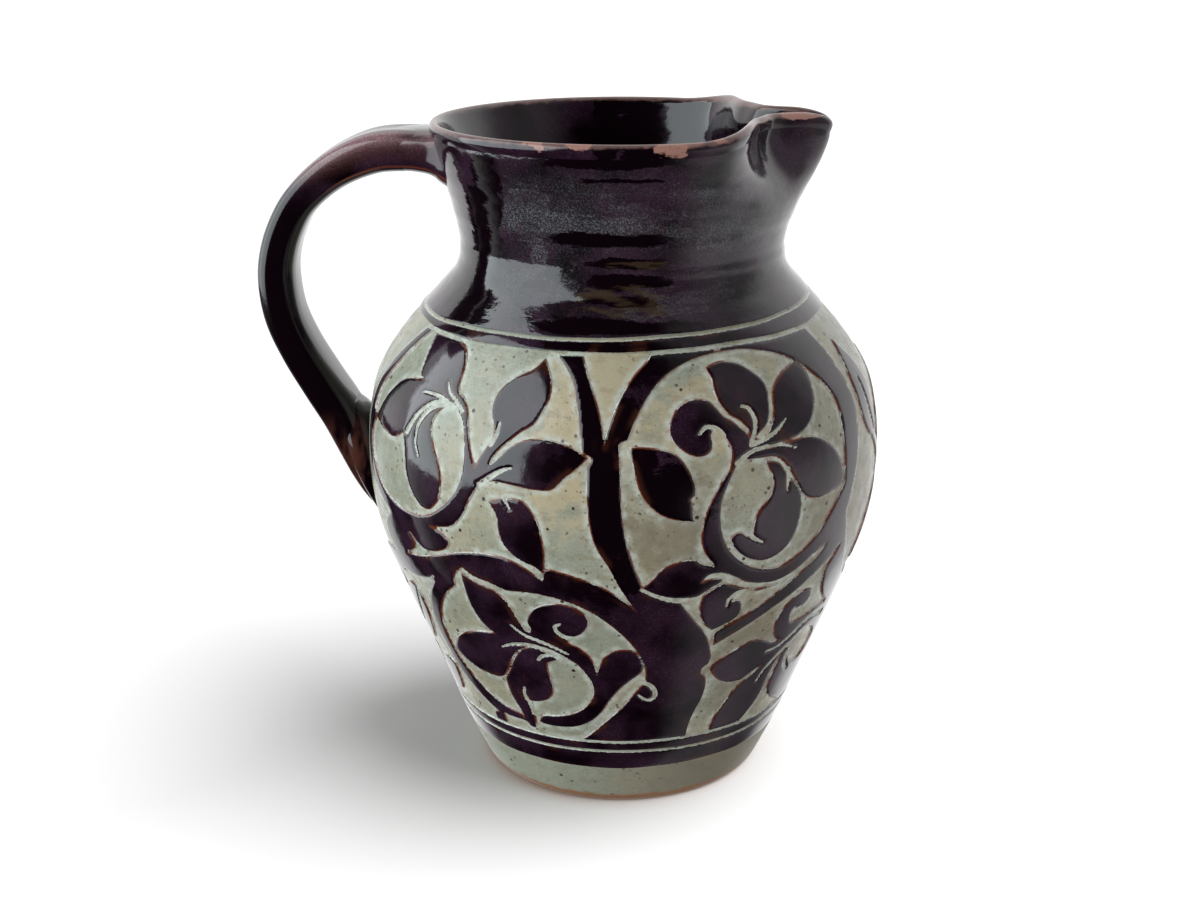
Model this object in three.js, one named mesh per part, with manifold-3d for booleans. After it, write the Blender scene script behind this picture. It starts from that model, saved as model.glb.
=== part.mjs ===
// Carved stoneware jug: a wheel-thrown body with a pulled lip and a pulled strap handle, coated outside with
// dark slip that is cut through to the pale clay in a traditional scrolling vine. Millimetres, +Z up.
// The origin is on the throwing axis, on the surface that the jug stands on. The handle points to -X, the
// pouring lip to +X, and the front of the carving faces -Y.
import * as THREE from "three";
import { mergeVertices } from "three/addons/utils/BufferGeometryUtils.js";
import Module from "manifold-3d";

const wasm = await Module();
wasm.setup();

// Driving dimensions of the thrown form, outside the slip
const FOOT_RADIUS = 49.8;
const BELLY_RADIUS = 90.4;
const BELLY_HEIGHT = 119;
const WAIST_RADIUS = 56;
const WAIST_HEIGHT = 190;
const RIM_RADIUS = 66;
const RIM_HEIGHT = 232;
// The thrower's curve between those heights, by few stations: share of the climb, share of the radius change
const FOOT_TO_BELLY = [[0, 0], [0.1, 0.14], [0.35, 0.44], [0.6, 0.73], [0.8, 0.94]];
const BELLY_TO_WAIST = [[0.2, 0.03], [0.4, 0.14], [0.6, 0.41], [0.8, 0.79], [0.9, 0.96]];
const WAIST_TO_RIM = [[0, 0], [0.3, 0.2], [0.65, 0.62], [1, 1]];

// Walls, the floor, and the rounding of the foot's edge
const RIM_WALL = 3.8;
const WAIST_WALL = 4.6;
const BELLY_WALL = 5.6;
const FLOOR = 7;
const FLOOR_CORNER = 12;
const FOOT_EDGE = 2.4;

// Slip coat: its thickness, and the running clearance that keeps it a piece of its own
const SLIP = 0.9;
const CLEARANCE = 0.3;
const GROUND_INSET = SLIP + CLEARANCE;

// Bare clay at the foot, and the incised rings that part the bands of slip above it
const BARE_FOOT = 17.3;
const LOW_FOOT_BAND = 7.9;
const HIGH_FOOT_BAND = 4.6;
const SHOULDER_DROP = 22;
const SHOULDER_BAND = 4;
const RING_WIDTH = 0.8;
const BARE_RIM = 3.4;

// Pulled lip: how far it reaches past the rim, how far the thumbs push the rim in beside it, and its angles
const LIP_REACH = 6;
const LIP_PINCH = 14;
const LIP_RAISE = 3;
const LIP_STRAIGHT = 6;
const LIP_HALF_ANGLE = 9.5;
const LIP_SHARPNESS = 2.6;
// Down the neck the lip's channel widens by this share and rounds off, and the pinch ends above the waist
const LIP_WIDENING = 1.2;
const LIP_SOFTENING = 0.5;
const PINCH_END_HEIGHT = 8;
const PINCH_FULL_ANGLE = 27;
const PINCH_END_ANGLE = 62;
const RAISE_FULL_ANGLE = 43;
const RAISE_END_ANGLE = 70;

// Strap handle: how far below the rim its root lies and how deep in the wall, and the same of its tail
const ROOT_DROP = 9;
const ROOT_DEPTH = 5.9;
const TAIL_HEIGHT = 96.6;
const TAIL_DEPTH = 1.6;
// Its centre line from root to tail, and its thickness there: x, z, half thickness, half width
const STRAP = [
  [-58, 223, 7.6, 15.5], [-68, 222.4, 7.4, 14], [-84, 221.3, 7.4, 12.6], [-98, 215.2, 6.8, 12.2],
  [-109.4, 205.4, 6.3, 12], [-115.6, 195, 6.4, 12], [-118.8, 184.4, 6.6, 12], [-119.2, 174.6, 6.8, 12],
  [-117.4, 163.6, 6.8, 12.2], [-112.6, 152, 6.8, 12.4], [-105.8, 139.8, 6.9, 12.8], [-99.4, 129, 7, 13.2],
  [-95, 119, 6.6, 13], [-91.6, 109.6, 5.8, 11.4], [-88.9, 102, 4.6, 9], [-86.8, 96.6, 3.4, 6],
];
const STRAP_GROOVE = 1;
// Clay smoothed under the strap at its root: how far along, how much thicker, and how much wider on each side
const UPPER_JOIN = [[0, 4.8, 3.9], [6, 4.4, 3.4], [11, 3, 2.2], [16, 1.5, 1]];
// Clay smoothed under its tail, as the strap's own stations are given
const LOWER_JOIN = [
  [-98, 137, 4.6, 11], [-94.6, 130, 6.8, 17], [-91.8, 120, 6.4, 17.6], [-89.4, 110, 5.6, 16],
  [-87.2, 101, 4.4, 12.6], [-85.4, 94, 3.2, 8.4], [-84.6, 90.6, 2.2, 4],
];

// Facets: how many go round the jug and round the strap, and how many rows go up each stretch
const ROUND_FACETS = 40;
const STRAP_FACETS = 14;
const NECK_ROWS = 5;
const BELLY_ROWS = 7;
const EDGE_STEPS = 4;
// A run of the drawing with this many points or more gets along with every second one
const LONG_RUN = 5;

// The carving, on the belly rolled out flat: mm round the belly from the front, and mm above the base. It
// covers one side of the jug and is repeated on the other. A cut takes the slip away, and a leaf, a stem or
// an island is left standing in it, an island free of the rest. An outline is runs that meet in corners.
// A stem has a centre line and its widths at the start, the middle and the end.
const SIDES = ["front", "back"];
const DRAWING_WIDTH = 270;
const DRAWING_LOW = 30;
const DRAWING_HIGH = 168;
const CARVING = [
  ["cut", "collar notch", [[[-16, 169], [-12, 161.5], [-8.6, 155], [-6.6, 149]], [[-5.6, 143.2], [-4,
    149], [-1, 155.5], [4, 162], [9, 165.7]], [[13, 169]]]],
  ["cut", "right scroll ground", [[[6.2, 96.2], [3.4, 104], [1, 113], [-0.4, 124], [-0.8, 134]], [[-1.2,
    144], [0.2, 144.6]], [[1.6, 145], [4, 150.5], [8, 156.2], [13, 160.8], [20, 164.2], [30, 166.6],
    [45, 167.3], [57, 165.8], [68, 162.4], [76, 156.6], [81, 150], [82.6, 142], [82.2, 130]], [[81.8,
    119.4], [76, 113.5], [69, 106], [61, 100.6], [52, 97.6], [43, 99.2], [36, 104], [31.6, 110], [29.8,
    118], [30.4, 125], [32.8, 130.5]], [[35.6, 135.4], [32.6, 133.2], [29.6, 129], [26.8, 124]], [[24.7,
    118.6], [24.2, 112]], [[25.6, 107], [28.6, 102.6], [24.6, 103.6]], [[22.4, 105.3], [17.5, 105.2],
    [12.4, 103], [9.6, 99.6]]]],
  ["keep", "right scroll flower heart", [[[33, 131.6], [36, 136.1], [40, 137.6], [46, 138.2], [45.6,
    141], [40.6, 142.6], [36.6, 140.4], [34.2, 137]]]],
  ["keep", "right scroll hook petal", [[[37.4, 137.2], [40.3, 143], [36.8, 147.2], [33, 149.9], [30.6,
    152.8], [28.3, 154.7], [23.6, 155.2], [19, 153.8], [16, 150.8], [14.8, 147.4], [16, 144], [18.4,
    141.6], [21.2, 139.8], [24.4, 139.2], [27, 140.2], [28, 142.6], [27.6, 145.2], [29.6, 146.8], [32,
    144.8], [34, 141.8], [34.4, 139]], [[34, 134.4]]]],
  ["keep", "right scroll top petal", [[[30.8, 163.3], [35.5, 164.4], [41, 164.2], [46.5, 162.3], [51.8,
    157.4], [50.8, 152.4], [49.4, 148.6], [47.4, 145.8], [43, 143]], [[40.4, 140.4], [41.2, 144.6],
    [38.6, 148.2]], [[35, 150.4], [32.9, 153.4], [31.8, 157], [32, 160.6]]]],
  ["keep", "right scroll upper petal", [[[41, 139.6], [48, 143.4], [51.4, 148], [53.2, 152.8], [55.8,
    156.2], [60.4, 158.6], [65.4, 160.1], [69.4, 160.9], [72.2, 159.4], [72.8, 156.2], [71.4, 150.8],
    [68.4, 146.2], [64, 142.5], [58, 140.5], [50, 139.8]]]],
  ["keep", "right scroll side petal", [[[36.6, 136.6], [44, 138.4], [54, 139], [62, 139.4], [68, 138.2],
    [73.2, 135.4], [77.4, 131.2], [80.2, 126], [80.8, 121.8]], [[79.4, 119.6], [74, 118.9], [68, 118.5],
    [63.4, 119.6], [60.4, 121.4], [57.5, 126], [54.5, 131.5], [50, 135.8], [43, 136.4]]]],
  ["island", "right scroll lower petal", [[[45.6, 135], [50.6, 133.4], [52.8, 130.4], [55, 127.4], [58,
    123.4], [59.5, 119.3], [59, 114], [57.4, 109], [54.4, 104.9], [50, 102.4], [45.4, 101.8], [40.5,
    103.3], [36.5, 106.4], [34.3, 109.4]], [[33.8, 111.9], [36.4, 113], [38.8, 111.2], [41.2, 110.8],
    [41.4, 113.4], [41.8, 116.6], [43.4, 119.6], [46.2, 122.2], [48, 125.2], [48.3, 128.6], [47.4,
    132]]]],
  ["island", "right stem leaf", [[[2.4, 142.7], [8, 142.3], [12.6, 141.4], [16.4, 139.8], [19.4, 136],
    [21.4, 131.6], [21.9, 128]], [[20.4, 126.2], [20.9, 122.4]], [[21.4, 118.7], [16.6, 119.6], [11.6,
    121.6], [7.8, 125.2], [5.4, 129.4], [3.7, 135.4]]]],
  ["cut", "right stem ground", [[[18, 90.9], [21, 86.4], [24.4, 81.6], [28, 77.2], [30.8, 72.6], [32.6,
    67.8]], [[33.7, 63.9], [34.6, 67]], [[33.6, 71], [32.9, 75.6], [38, 78.3], [45, 81.6], [52, 85.6],
    [58, 89.3], [65, 93.4], [71, 97]], [[74.6, 100.6], [68, 98.4], [60, 94.5], [53, 92.7], [47, 93.1],
    [41, 94.7], [36.4, 97.4], [33, 99.2], [30, 100], [26.8, 99.6]], [[24.4, 96.9], [28.6, 97.7], [31.8,
    96.9], [29, 95.3], [26.4, 93.6], [24, 92.1], [21, 91.6]]]],
  ["island", "heart bud", [[[26, 91.6], [29.2, 93.9], [32.6, 95.3], [36, 94.1], [40, 92.4], [46, 91],
    [54.4, 90.6]], [[46, 90.2], [41.6, 91.3], [37.4, 90.2], [36.4, 87.6], [38.4, 87.9], [40.3, 86.2],
    [40.7, 83.2], [39.2, 80.7], [35.6, 78.8]], [[31.4, 77.2], [28.8, 79.4], [26.5, 83], [25.5, 87.2]]]],
  ["cut", "lower right ground", [[[33.7, 70.6], [40, 73.7], [48, 77.6], [56, 81.6], [64, 85.4]], [[73,
    90.3], [79, 94.2], [84, 97]], [[78, 88.6], [81, 82], [86, 76.6], [92, 72.6]], [[98, 69.8], [91, 71],
    [84, 70.9], [76, 70.3], [70, 70.6], [67.4, 73], [67, 77], [70.6, 76.2], [74.4, 77.4], [75.4, 80.4],
    [73.6, 83], [70, 83.6], [66, 82.8], [62.8, 80.6], [60.2, 77], [59.7, 73], [60.8, 69], [63, 65.8]],
    [[67, 63.9], [62, 64.4], [57.6, 66.4], [53.6, 67.9], [49.6, 68.1], [45, 66.6], [40.6, 64.8], [36.8,
    62.6]], [[33, 60.9]]]],
  ["cut", "lower right kidney", [[[76, 61.4], [83, 63.4], [91, 61.6], [97, 57], [98, 51.6], [92, 48.2],
    [84, 49.6], [78, 53.6]], [[76.2, 57.6]]]],
  ["cut", "lower trunk ground", [[[30.5, 60.8], [33, 62.6], [35, 61.6]], [[34.6, 59.6], [37, 56.6],
    [40.6, 53.6], [45.4, 51.9]], [[51, 51.5], [56, 53.8], [60.4, 55.4], [56.6, 52.2], [51.8, 49.6],
    [48.8, 46.6], [46.2, 42.6], [44, 39], [42.8, 35]], [[42, 29]], [[29.8, 29], [30.2, 36], [31.6,
    41.6], [33.4, 46.6], [34, 52], [33, 56.6]], [[30.6, 58.6]]]],
  ["cut", "lower right base ground", [[[58, 29], [62, 32.6], [66, 36.8], [68, 41], [68.2, 47], [69.6,
    54.4]], [[72, 57.4], [71.4, 50], [71.6, 44.4], [73.4, 39.6], [79, 36], [86, 33]], [[96, 29]]]],
  ["cut", "trunk left ground", [[[4.6, 87.4], [1.6, 92.4], [-1.4, 98], [-4.4, 104.6], [-7.6, 110.4],
    [-9.4, 117], [-10.3, 126]], [[-10.4, 136.6], [-9, 139.2], [-12, 141.4]], [[-12.6, 144.6], [-13.6,
    150], [-15, 155.4], [-17, 160.4], [-21, 164.6]], [[-28, 168.9]], [[-78, 168.9]], [[-70, 166.4],
    [-65.4, 165], [-62.4, 162], [-61, 158], [-60.6, 155.4]], [[-59.2, 153.4], [-56, 152], [-53, 148.8],
    [-51.4, 144], [-49.8, 138.8], [-48.4, 135]], [[-47, 132.2], [-45.8, 135.4], [-43.6, 139], [-41.8,
    142.2]], [[-40.2, 147.4], [-40.2, 143]], [[-42.4, 132.6], [-44.6, 129.6]], [[-45.6, 127.2], [-47.6,
    124.6], [-49.6, 121], [-51.4, 117], [-54, 113.6], [-57.4, 111]], [[-67.2, 108.6], [-61.4, 107.6]],
    [[-58.2, 105.4], [-59.4, 103], [-63, 101], [-68, 99.4], [-73, 99.6]], [[-80, 104.4], [-76.6, 98.6]],
    [[-84, 93.4], [-74, 95.4], [-64, 98.8], [-55, 102], [-46, 103.9], [-38, 103.9], [-31.4, 101.8]],
    [[-24.7, 97.2], [-23.6, 101.6], [-18, 100.9], [-12, 99], [-6, 96.4], [-1, 92.6]]]],
  ["keep", "left upper leaf", [[[-29.2, 165.8], [-32.4, 162.8], [-37.4, 160.6], [-41.4, 157.8], [-43.6,
    154.2], [-43.4, 149.8], [-41.6, 146]], [[-41.4, 139], [-45.4, 133]], [[-42.8, 134.4], [-39.8,
    138.8], [-36, 142.6], [-32, 146], [-28.4, 148.4], [-26.2, 152], [-24.6, 156.4], [-25.6, 161]]]],
  ["keep", "left middle leaf", [[[-44.8, 130.6], [-41.6, 134], [-38, 137.6], [-34.6, 141], [-30, 143.2],
    [-25, 143.9], [-20, 143.4], [-15, 141.8]], [[-10.6, 139.4], [-14, 136], [-17.4, 133], [-20.2, 130],
    [-22.6, 128.8], [-28, 128.7], [-34, 129.3], [-40, 129.6]], [[-44.6, 128.4]]]],
  ["island", "left lower leaf", [[[-41.6, 122.6], [-37.6, 124], [-33.6, 124.6], [-30.4, 124], [-28,
    121.6], [-26, 118], [-24.7, 113], [-24, 107]], [[-24.5, 100.4], [-27.4, 102.7], [-31, 104], [-34.6,
    106.2], [-37.4, 109.6], [-38.6, 114], [-39, 118]]]],
  ["cut", "left scroll kidney", [[[-58, 149.6], [-62, 149.2], [-65.2, 147.2], [-66.9, 143.4], [-66.4,
    139.6], [-64.6, 135.4], [-62.3, 131.4], [-60.8, 127], [-61, 122.6]], [[-62, 118.6], [-66, 114.9],
    [-70, 114.9], [-74.4, 118.2], [-77.6, 124], [-79, 131]], [[-81, 137.4], [-87, 134], [-95, 134.4]],
    [[-104.6, 136.4], [-107.6, 130], [-104, 121], [-96, 114.6], [-86, 111.2], [-76, 110.4], [-68,
    111.9], [-61, 116], [-55.4, 121.6], [-52.4, 127], [-51.2, 133.4], [-51.8, 140.4], [-53.8, 146]]]],
  ["cut", "left scroll corner ground", [[[-90, 169], [-96, 163], [-102, 154.6], [-106, 146]], [[-108.6,
    138], [-104, 137]], [[-100, 142], [-95, 148], [-89, 152.4]], [[-76, 154.3], [-81.4, 155.2]],
    [[-83.6, 159], [-86.4, 164.4]]]],
  ["cut", "left ring ground", [[[-54.4, 97.2], [-50, 94.8], [-44.6, 93.9]], [[-38, 92], [-30, 92.6],
    [-22, 91.8], [-15, 89.6], [-9, 86.2], [-3.6, 81.6], [1.4, 76.2], [5.6, 70.2], [8.6, 63.6]], [[9.2,
    57.4], [6, 53.4], [1.2, 47], [-3.4, 42.4], [-8, 38.3], [-12.4, 34.4]], [[-19.6, 29]], [[-58.6, 29]],
    [[-59.4, 34.6], [-53, 34.4], [-46.6, 34.2]], [[-44, 32.2], [-41.6, 32.4], [-40.4, 37], [-40.2, 41]],
    [[-40.4, 44.6], [-36.4, 45.2], [-32.4, 46.6], [-29.6, 49], [-28.3, 52.4], [-28.6, 57], [-29, 61]],
    [[-28.4, 63.8], [-25, 65.2], [-21.6, 65.8]], [[-33.6, 69.6], [-38.6, 66.6], [-42.6, 61.8], [-46,
    56.6]], [[-49.6, 52.4], [-49.8, 47.6], [-48.8, 43], [-47, 39]], [[-46, 35.4], [-49, 37], [-55,
    38.2], [-61, 40.2], [-67, 43.8], [-73, 49.2], [-77, 55], [-78.6, 62], [-77.4, 68.6], [-74, 75],
    [-69, 80.8], [-63.4, 86]], [[-59.8, 88.4], [-58.6, 93]]]],
  ["island", "left ring flower", [[[-54.8, 94.8], [-50, 92.8], [-44.6, 91.3], [-40.6, 89], [-38.2,
    85.4], [-36.6, 81]], [[-34.4, 75.4], [-36, 71.6]], [[-46, 71.8], [-50.4, 73.6], [-53.4, 77.4], [-55,
    82.6], [-55.3, 89]]]],
  ["island", "left ring flower", [[[-38, 72.8], [-46, 72.2], [-52, 71.5], [-58, 70.2], [-64, 67.8],
    [-70, 64.2], [-74, 60.2], [-75.2, 57.4], [-72, 54.9], [-66, 52.9], [-60, 52], [-54, 52.2]], [[-50,
    53.7], [-47.2, 57], [-44, 62], [-40, 66.6], [-36, 69.3]]]],
  ["island", "left ring flower", [[[-36, 70.4], [-32.2, 76.4], [-32.6, 80.4], [-31, 83.7], [-28.4,
    86.6], [-25, 88.3], [-20.4, 89], [-16, 88.3], [-12.8, 86.2], [-11.4, 83.4], [-12, 80.4], [-14,
    77.8], [-17, 76], [-19.4, 73.4], [-15.6, 71.4], [-12.2, 68.4], [-10.6, 65]], [[-9.6, 60.2], [-8.2,
    63.6], [-6.6, 67.6], [-3.4, 70.4], [1, 71.2], [4.4, 70.2], [6.6, 66.4], [7.2, 62]], [[2.6, 57.8],
    [-1, 54.4], [-5, 49.4], [-9, 43.4], [-14, 39], [-21, 36], [-28, 35], [-35, 34.9]], [[-38.4, 35.4],
    [-35.6, 38.6], [-29, 39.6], [-22.6, 41.2], [-17.2, 43.8], [-13.6, 47.2], [-11.4, 51.2], [-11.4, 56],
    [-13.6, 60.4], [-17, 64.6], [-22, 67.4], [-28, 69.2]]]],
  ["island", "left ring flower", [[[-41, 69.4], [-38.4, 74], [-34.6, 76], [-30.6, 74], [-27, 70]],
    [[-33, 69.6]]]],
  ["cut", "left corner lower ground", [[[-62, 34.2], [-66, 36], [-72, 39.4], [-78, 44.6], [-82.4, 51],
    [-84.6, 58.6], [-84.4, 66], [-81.8, 73.4], [-77, 80.4], [-70.6, 87.4]], [[-80, 84.6], [-93, 83]],
    [[-104, 80], [-112, 74], [-117, 65], [-117.6, 55]], [[-118.4, 44], [-119.6, 36]], [[-120, 29]],
    [[-66, 29]], [[-65.6, 33]]]],
  ["island", "far left leaf", [[[-88, 78.6], [-95, 78.4], [-102.4, 74.6], [-107.6, 67.6], [-109, 59]],
    [[-106, 51], [-98.6, 54.4], [-92.4, 60.4], [-89, 68]]]],
  ["island", "far left foot leaf", [[[-84.4, 48.2], [-90, 49.4], [-97.4, 46.6], [-102, 40]], [[-103,
    33.4], [-95, 33.8], [-88, 38]]]],
  ["cut", "side ground", [[[88, 169], [91.4, 161], [93, 151], [93.4, 140], [91.6, 128], [88, 117.6]],
    [[84.4, 108.8], [87.4, 99.4], [91.6, 90.6], [97, 83.4], [104, 78.4], [113, 76], [124, 77], [137,
    80.6], [150, 85], [163, 89]], [[176, 91.4], [172.4, 95.6], [173, 101]], [[179.6, 106.4], [169.6,
    111.4], [161.6, 119], [157.6, 128], [156.8, 138], [159.4, 148], [164.6, 157.6]], [[174.6, 169]]]],
  ["cut", "branch parting", [[[154, 90]], [[155.6, 90.4]], [[157.4, 68.6]], [[155.8, 68.4]]]],
  ["stem", "sprig stem", [[[138, 76], [136.4, 90], [130.4, 106], [120.6, 119], [108, 130]], [7.5, 4.6,
    3]]],
  ["keep", "sprig tip leaf", [[[110.4, 127.6], [104, 130.6], [99.2, 137.4], [97.8, 146], [99.2, 154]],
    [[102.8, 162], [109, 155.4], [113.2, 147], [114, 138], [112.4, 131]]]],
  ["keep", "sprig high leaf", [[[119.6, 119.4], [121.6, 129], [126.4, 138], [133.6, 145.6]], [[144,
    151.4], [145.4, 141.8], [142, 131.4], [135, 123], [127, 117.6]]]],
  ["keep", "sprig low leaf", [[[127.4, 110.6], [118, 107.6], [110.6, 101.6], [106.4, 94]], [[104, 84.6],
    [113.6, 85.2], [122.4, 89.8], [129, 97.6], [131, 105]]]],
  ["keep", "sprig bud", [[[133.8, 96.4], [142, 95.2], [148.8, 99.4], [152.4, 107]], [[152.8, 118.4],
    [145.6, 114.6], [139.4, 108.6], [135, 101.6]]]],
  ["cut", "side foot ground", [[[104, 29], [108, 36.4], [113.6, 43], [117.6, 50], [119, 57]], [[118.4,
    64.6], [125, 67.2], [133, 69.6]], [[138.4, 70.4], [140.6, 62], [140.2, 52], [137.4, 42.4], [132.6,
    34.6]], [[128, 29]]]],
  ["island", "side foot leaf", [[[133, 65.4], [127, 62.6], [123, 56], [122, 48]], [[123.6, 39.6],
    [129.4, 44.4], [133.6, 51], [135, 58.4]]]],
];
// The two sides meet in the ground, where the front one starts
const SIDE_START = -114.2;
// How far out the cutting tools reach, times the belly's radius. Those that leave slip reach further
const CUT_REACH = 1.6;
const KEEP_REACH = 1.8;

const LOW_FOOT_RING = BARE_FOOT + LOW_FOOT_BAND;
const HIGH_FOOT_RING = LOW_FOOT_RING + HIGH_FOOT_BAND;
const SHOULDER_RING = WAIST_HEIGHT - SHOULDER_DROP;
const HIGH_SHOULDER_RING = SHOULDER_RING + SHOULDER_BAND;
const COAT_TOP = RIM_HEIGHT - BARE_RIM;
const FULL_TURN = 360;

const colours = {
  clay: new THREE.MeshStandardMaterial({ color: 0xb9b59a, roughness: 0.38, metalness: 0 }),
  slip: new THREE.MeshStandardMaterial({ color: 0x2a2027, roughness: 0.16, metalness: 0 }),
  strap: new THREE.MeshStandardMaterial({ color: 0x33262a, roughness: 0.18, metalness: 0 }),
};

const jug = new THREE.Group();
jug.name = "carved_jug";

const { lerp, mapLinear, degToRad } = THREE.MathUtils;

function smoothStep(t) {
  const s = Math.min(1, Math.max(0, t));
  return s * s * (3 - 2 * s);
}

// Heights between two others, closer together towards the upper one where bunching is over 1
function spread(from, to, count, bunching = 1) {
  const share = (i) => 1 - (1 - (i + 1) / (count + 1)) ** bunching;
  return Array.from({ length: count }, (_, i) => lerp(from, to, share(i)));
}

// Stations between two turning points of the form, each a height and a radius
function stationsBetween([lowZ, lowRadius], [highZ, highRadius], shares) {
  return shares.map(([up, out]) => [lerp(lowZ, highZ, up), lerp(lowRadius, highRadius, out)]);
}

const bellyTurn = [BELLY_HEIGHT, BELLY_RADIUS];
const waistTurn = [WAIST_HEIGHT, WAIST_RADIUS];
const formStations = [
  ...stationsBetween([0, FOOT_RADIUS], bellyTurn, FOOT_TO_BELLY),
  bellyTurn,
  ...stationsBetween(bellyTurn, waistTurn, BELLY_TO_WAIST),
  ...stationsBetween(waistTurn, [RIM_HEIGHT, RIM_RADIUS], WAIST_TO_RIM),
];
const formHeights = formStations.map(([height]) => height);
const formRadii = formStations.map(([, radius]) => radius);
const formCurve = new THREE.CubicInterpolant(formHeights, formRadii, 1, new Float32Array(1));

function formRadius(z) {
  return formCurve.evaluate(z)[0];
}

// How far the lip moves the wall outwards and upwards, at an angle from the lip and a height
function lipShift(fromLip, z) {
  const fullHeight = RIM_HEIGHT - LIP_STRAIGHT;
  const pinchLow = WAIST_HEIGHT + PINCH_END_HEIGHT;
  const reach = LIP_REACH * smoothStep((z - WAIST_HEIGHT) / (fullHeight - WAIST_HEIGHT));
  const pinch = LIP_PINCH * smoothStep((z - pinchLow) / (fullHeight - pinchLow));
  const below = Math.min(1, Math.max(0, (RIM_HEIGHT - z) / (RIM_HEIGHT - WAIST_HEIGHT)));
  const halfAngle = LIP_HALF_ANGLE * (1 + LIP_WIDENING * below);
  const channel = Math.exp(-((fromLip / halfAngle) ** (LIP_SHARPNESS - LIP_SOFTENING * below)));
  const beside = smoothStep((PINCH_END_ANGLE - fromLip) / (PINCH_END_ANGLE - PINCH_FULL_ANGLE));
  return (reach + pinch) * channel - pinch * beside;
}

function lipRise(fromLip, z) {
  const beside = smoothStep((RAISE_END_ANGLE - fromLip) / (RAISE_END_ANGLE - RAISE_FULL_ANGLE));
  const height = smoothStep((z - WAIST_HEIGHT) / (RIM_HEIGHT - WAIST_HEIGHT));
  return LIP_RAISE * beside * smoothStep(fromLip / LIP_HALF_ANGLE) * height;
}

// A point of the wall: its angle from +X, its height, and how far it lies inside the outer face
function wallPoint(angle, z, inset) {
  const awayFromLip = (a) => Math.abs(a > FULL_TURN / 2 ? a - FULL_TURN : a);
  const radiusAt = (a) => formRadius(z) + lipShift(awayFromLip(a), z);
  const radius = radiusAt(angle);
  const slope = (radiusAt(angle + 0.5) - radiusAt(angle - 0.5)) / degToRad(1);
  const length = Math.hypot(radius, slope);
  const out = radius - (inset * radius) / length;
  const along = (inset * slope) / length;
  const turn = degToRad(angle);
  return [
    out * Math.cos(turn) - along * Math.sin(turn),
    out * Math.sin(turn) + along * Math.cos(turn),
    z + lipRise(awayFromLip(angle), z),
  ];
}

// Directions of the facets round the jug, with a few more between them where the lip turns sharply
const roundAngles = Array.from({ length: ROUND_FACETS }, (_, i) => (i * FULL_TURN) / ROUND_FACETS);
for (const share of [1 / 3, 2 / 3, 4 / 3]) {
  const extra = share * LIP_HALF_ANGLE;
  if (roundAngles.every((angle) => Math.abs(angle - extra) > 1)) roundAngles.push(extra, FULL_TURN - extra);
}
roundAngles.sort((a, b) => a - b);

function solidFrom(positions, triangles) {
  const geometry = new THREE.BufferGeometry();
  geometry.setAttribute("position", new THREE.Float32BufferAttribute(positions.flat(), 3));
  geometry.setIndex(triangles.flat());
  const merged = mergeVertices(geometry, 1e-4);
  return new wasm.Manifold(new wasm.Mesh({
    numProp: 3,
    vertProperties: new Float32Array(merged.attributes.position.array),
    triVerts: new Uint32Array(merged.index.array),
  }));
}

// Skin between neighbouring rings of points, each ring running anticlockwise seen from the end of the list.
// The way back down has its facets split along the other diagonal, so that they lie as the way up does
function ringSkin(count, rings, closed, wayBack = rings) {
  const triangles = [];
  const last = closed ? rings : rings - 1;
  for (let row = 0; row < last; row += 1) {
    const here = row * count;
    const next = ((row + 1) % rings) * count;
    for (let i = 0; i < count; i += 1) {
      const j = (i + 1) % count;
      if (row < wayBack) triangles.push([here + i, here + j, next + j], [here + i, next + j, next + i]);
      else triangles.push([here + i, here + j, next + i], [here + j, next + j, next + i]);
    }
  }
  return triangles;
}

function capFan(count, start, centre, flip) {
  const triangles = [];
  for (let i = 0; i < count; i += 1) {
    const j = (i + 1) % count;
    triangles.push(flip ? [centre, start + j, start + i] : [centre, start + i, start + j]);
  }
  return triangles;
}

// A closed form whose rings run from the middle of the base, up the outside, over the rim and down the inside
function thrownSolid(rings, startZ, endZ) {
  const count = roundAngles.length;
  const positions = rings.flat();
  const bottom = positions.push([0, 0, startZ]) - 1;
  const top = positions.push([0, 0, endZ]) - 1;
  const triangles = ringSkin(count, rings.length, false);
  triangles.push(...capFan(count, 0, bottom, true), ...capFan(count, (rings.length - 1) * count, top, false));
  return solidFrom(positions, triangles);
}

const ringAt = (z, inset) => roundAngles.map((angle) => wallPoint(angle, z, inset));

function wallAt(z) {
  if (z > WAIST_HEIGHT) return mapLinear(z, WAIST_HEIGHT, RIM_HEIGHT, WAIST_WALL, RIM_WALL);
  return mapLinear(z, FLOOR, WAIST_HEIGHT, BELLY_WALL, WAIST_WALL);
}

const bellyRows = spread(HIGH_FOOT_RING, SHOULDER_RING, BELLY_ROWS, 1.35);
const neckRows = spread(HIGH_SHOULDER_RING, COAT_TOP, NECK_ROWS);
const groundRows = [
  BARE_FOOT, LOW_FOOT_RING, HIGH_FOOT_RING, ...bellyRows, SHOULDER_RING, HIGH_SHOULDER_RING, ...neckRows,
  COAT_TOP,
];

// A quarter round at the foot and a half round over the rim: height above the edge's start, and inset
function roundSteps(sweep) {
  return Array.from({ length: EDGE_STEPS + 1 }, (_, i) => (i / EDGE_STEPS) * degToRad(sweep));
}
const footEdge = roundSteps(90).map((turn) => [
  FOOT_EDGE * (1 - Math.cos(turn)), FOOT_EDGE * (1 - Math.sin(turn))]);
const rimEdge = roundSteps(180).map((turn) => [
  RIM_HEIGHT - (RIM_WALL / 2) * (1 - Math.sin(turn)), (RIM_WALL / 2) * (1 - Math.cos(turn))]);

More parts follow.
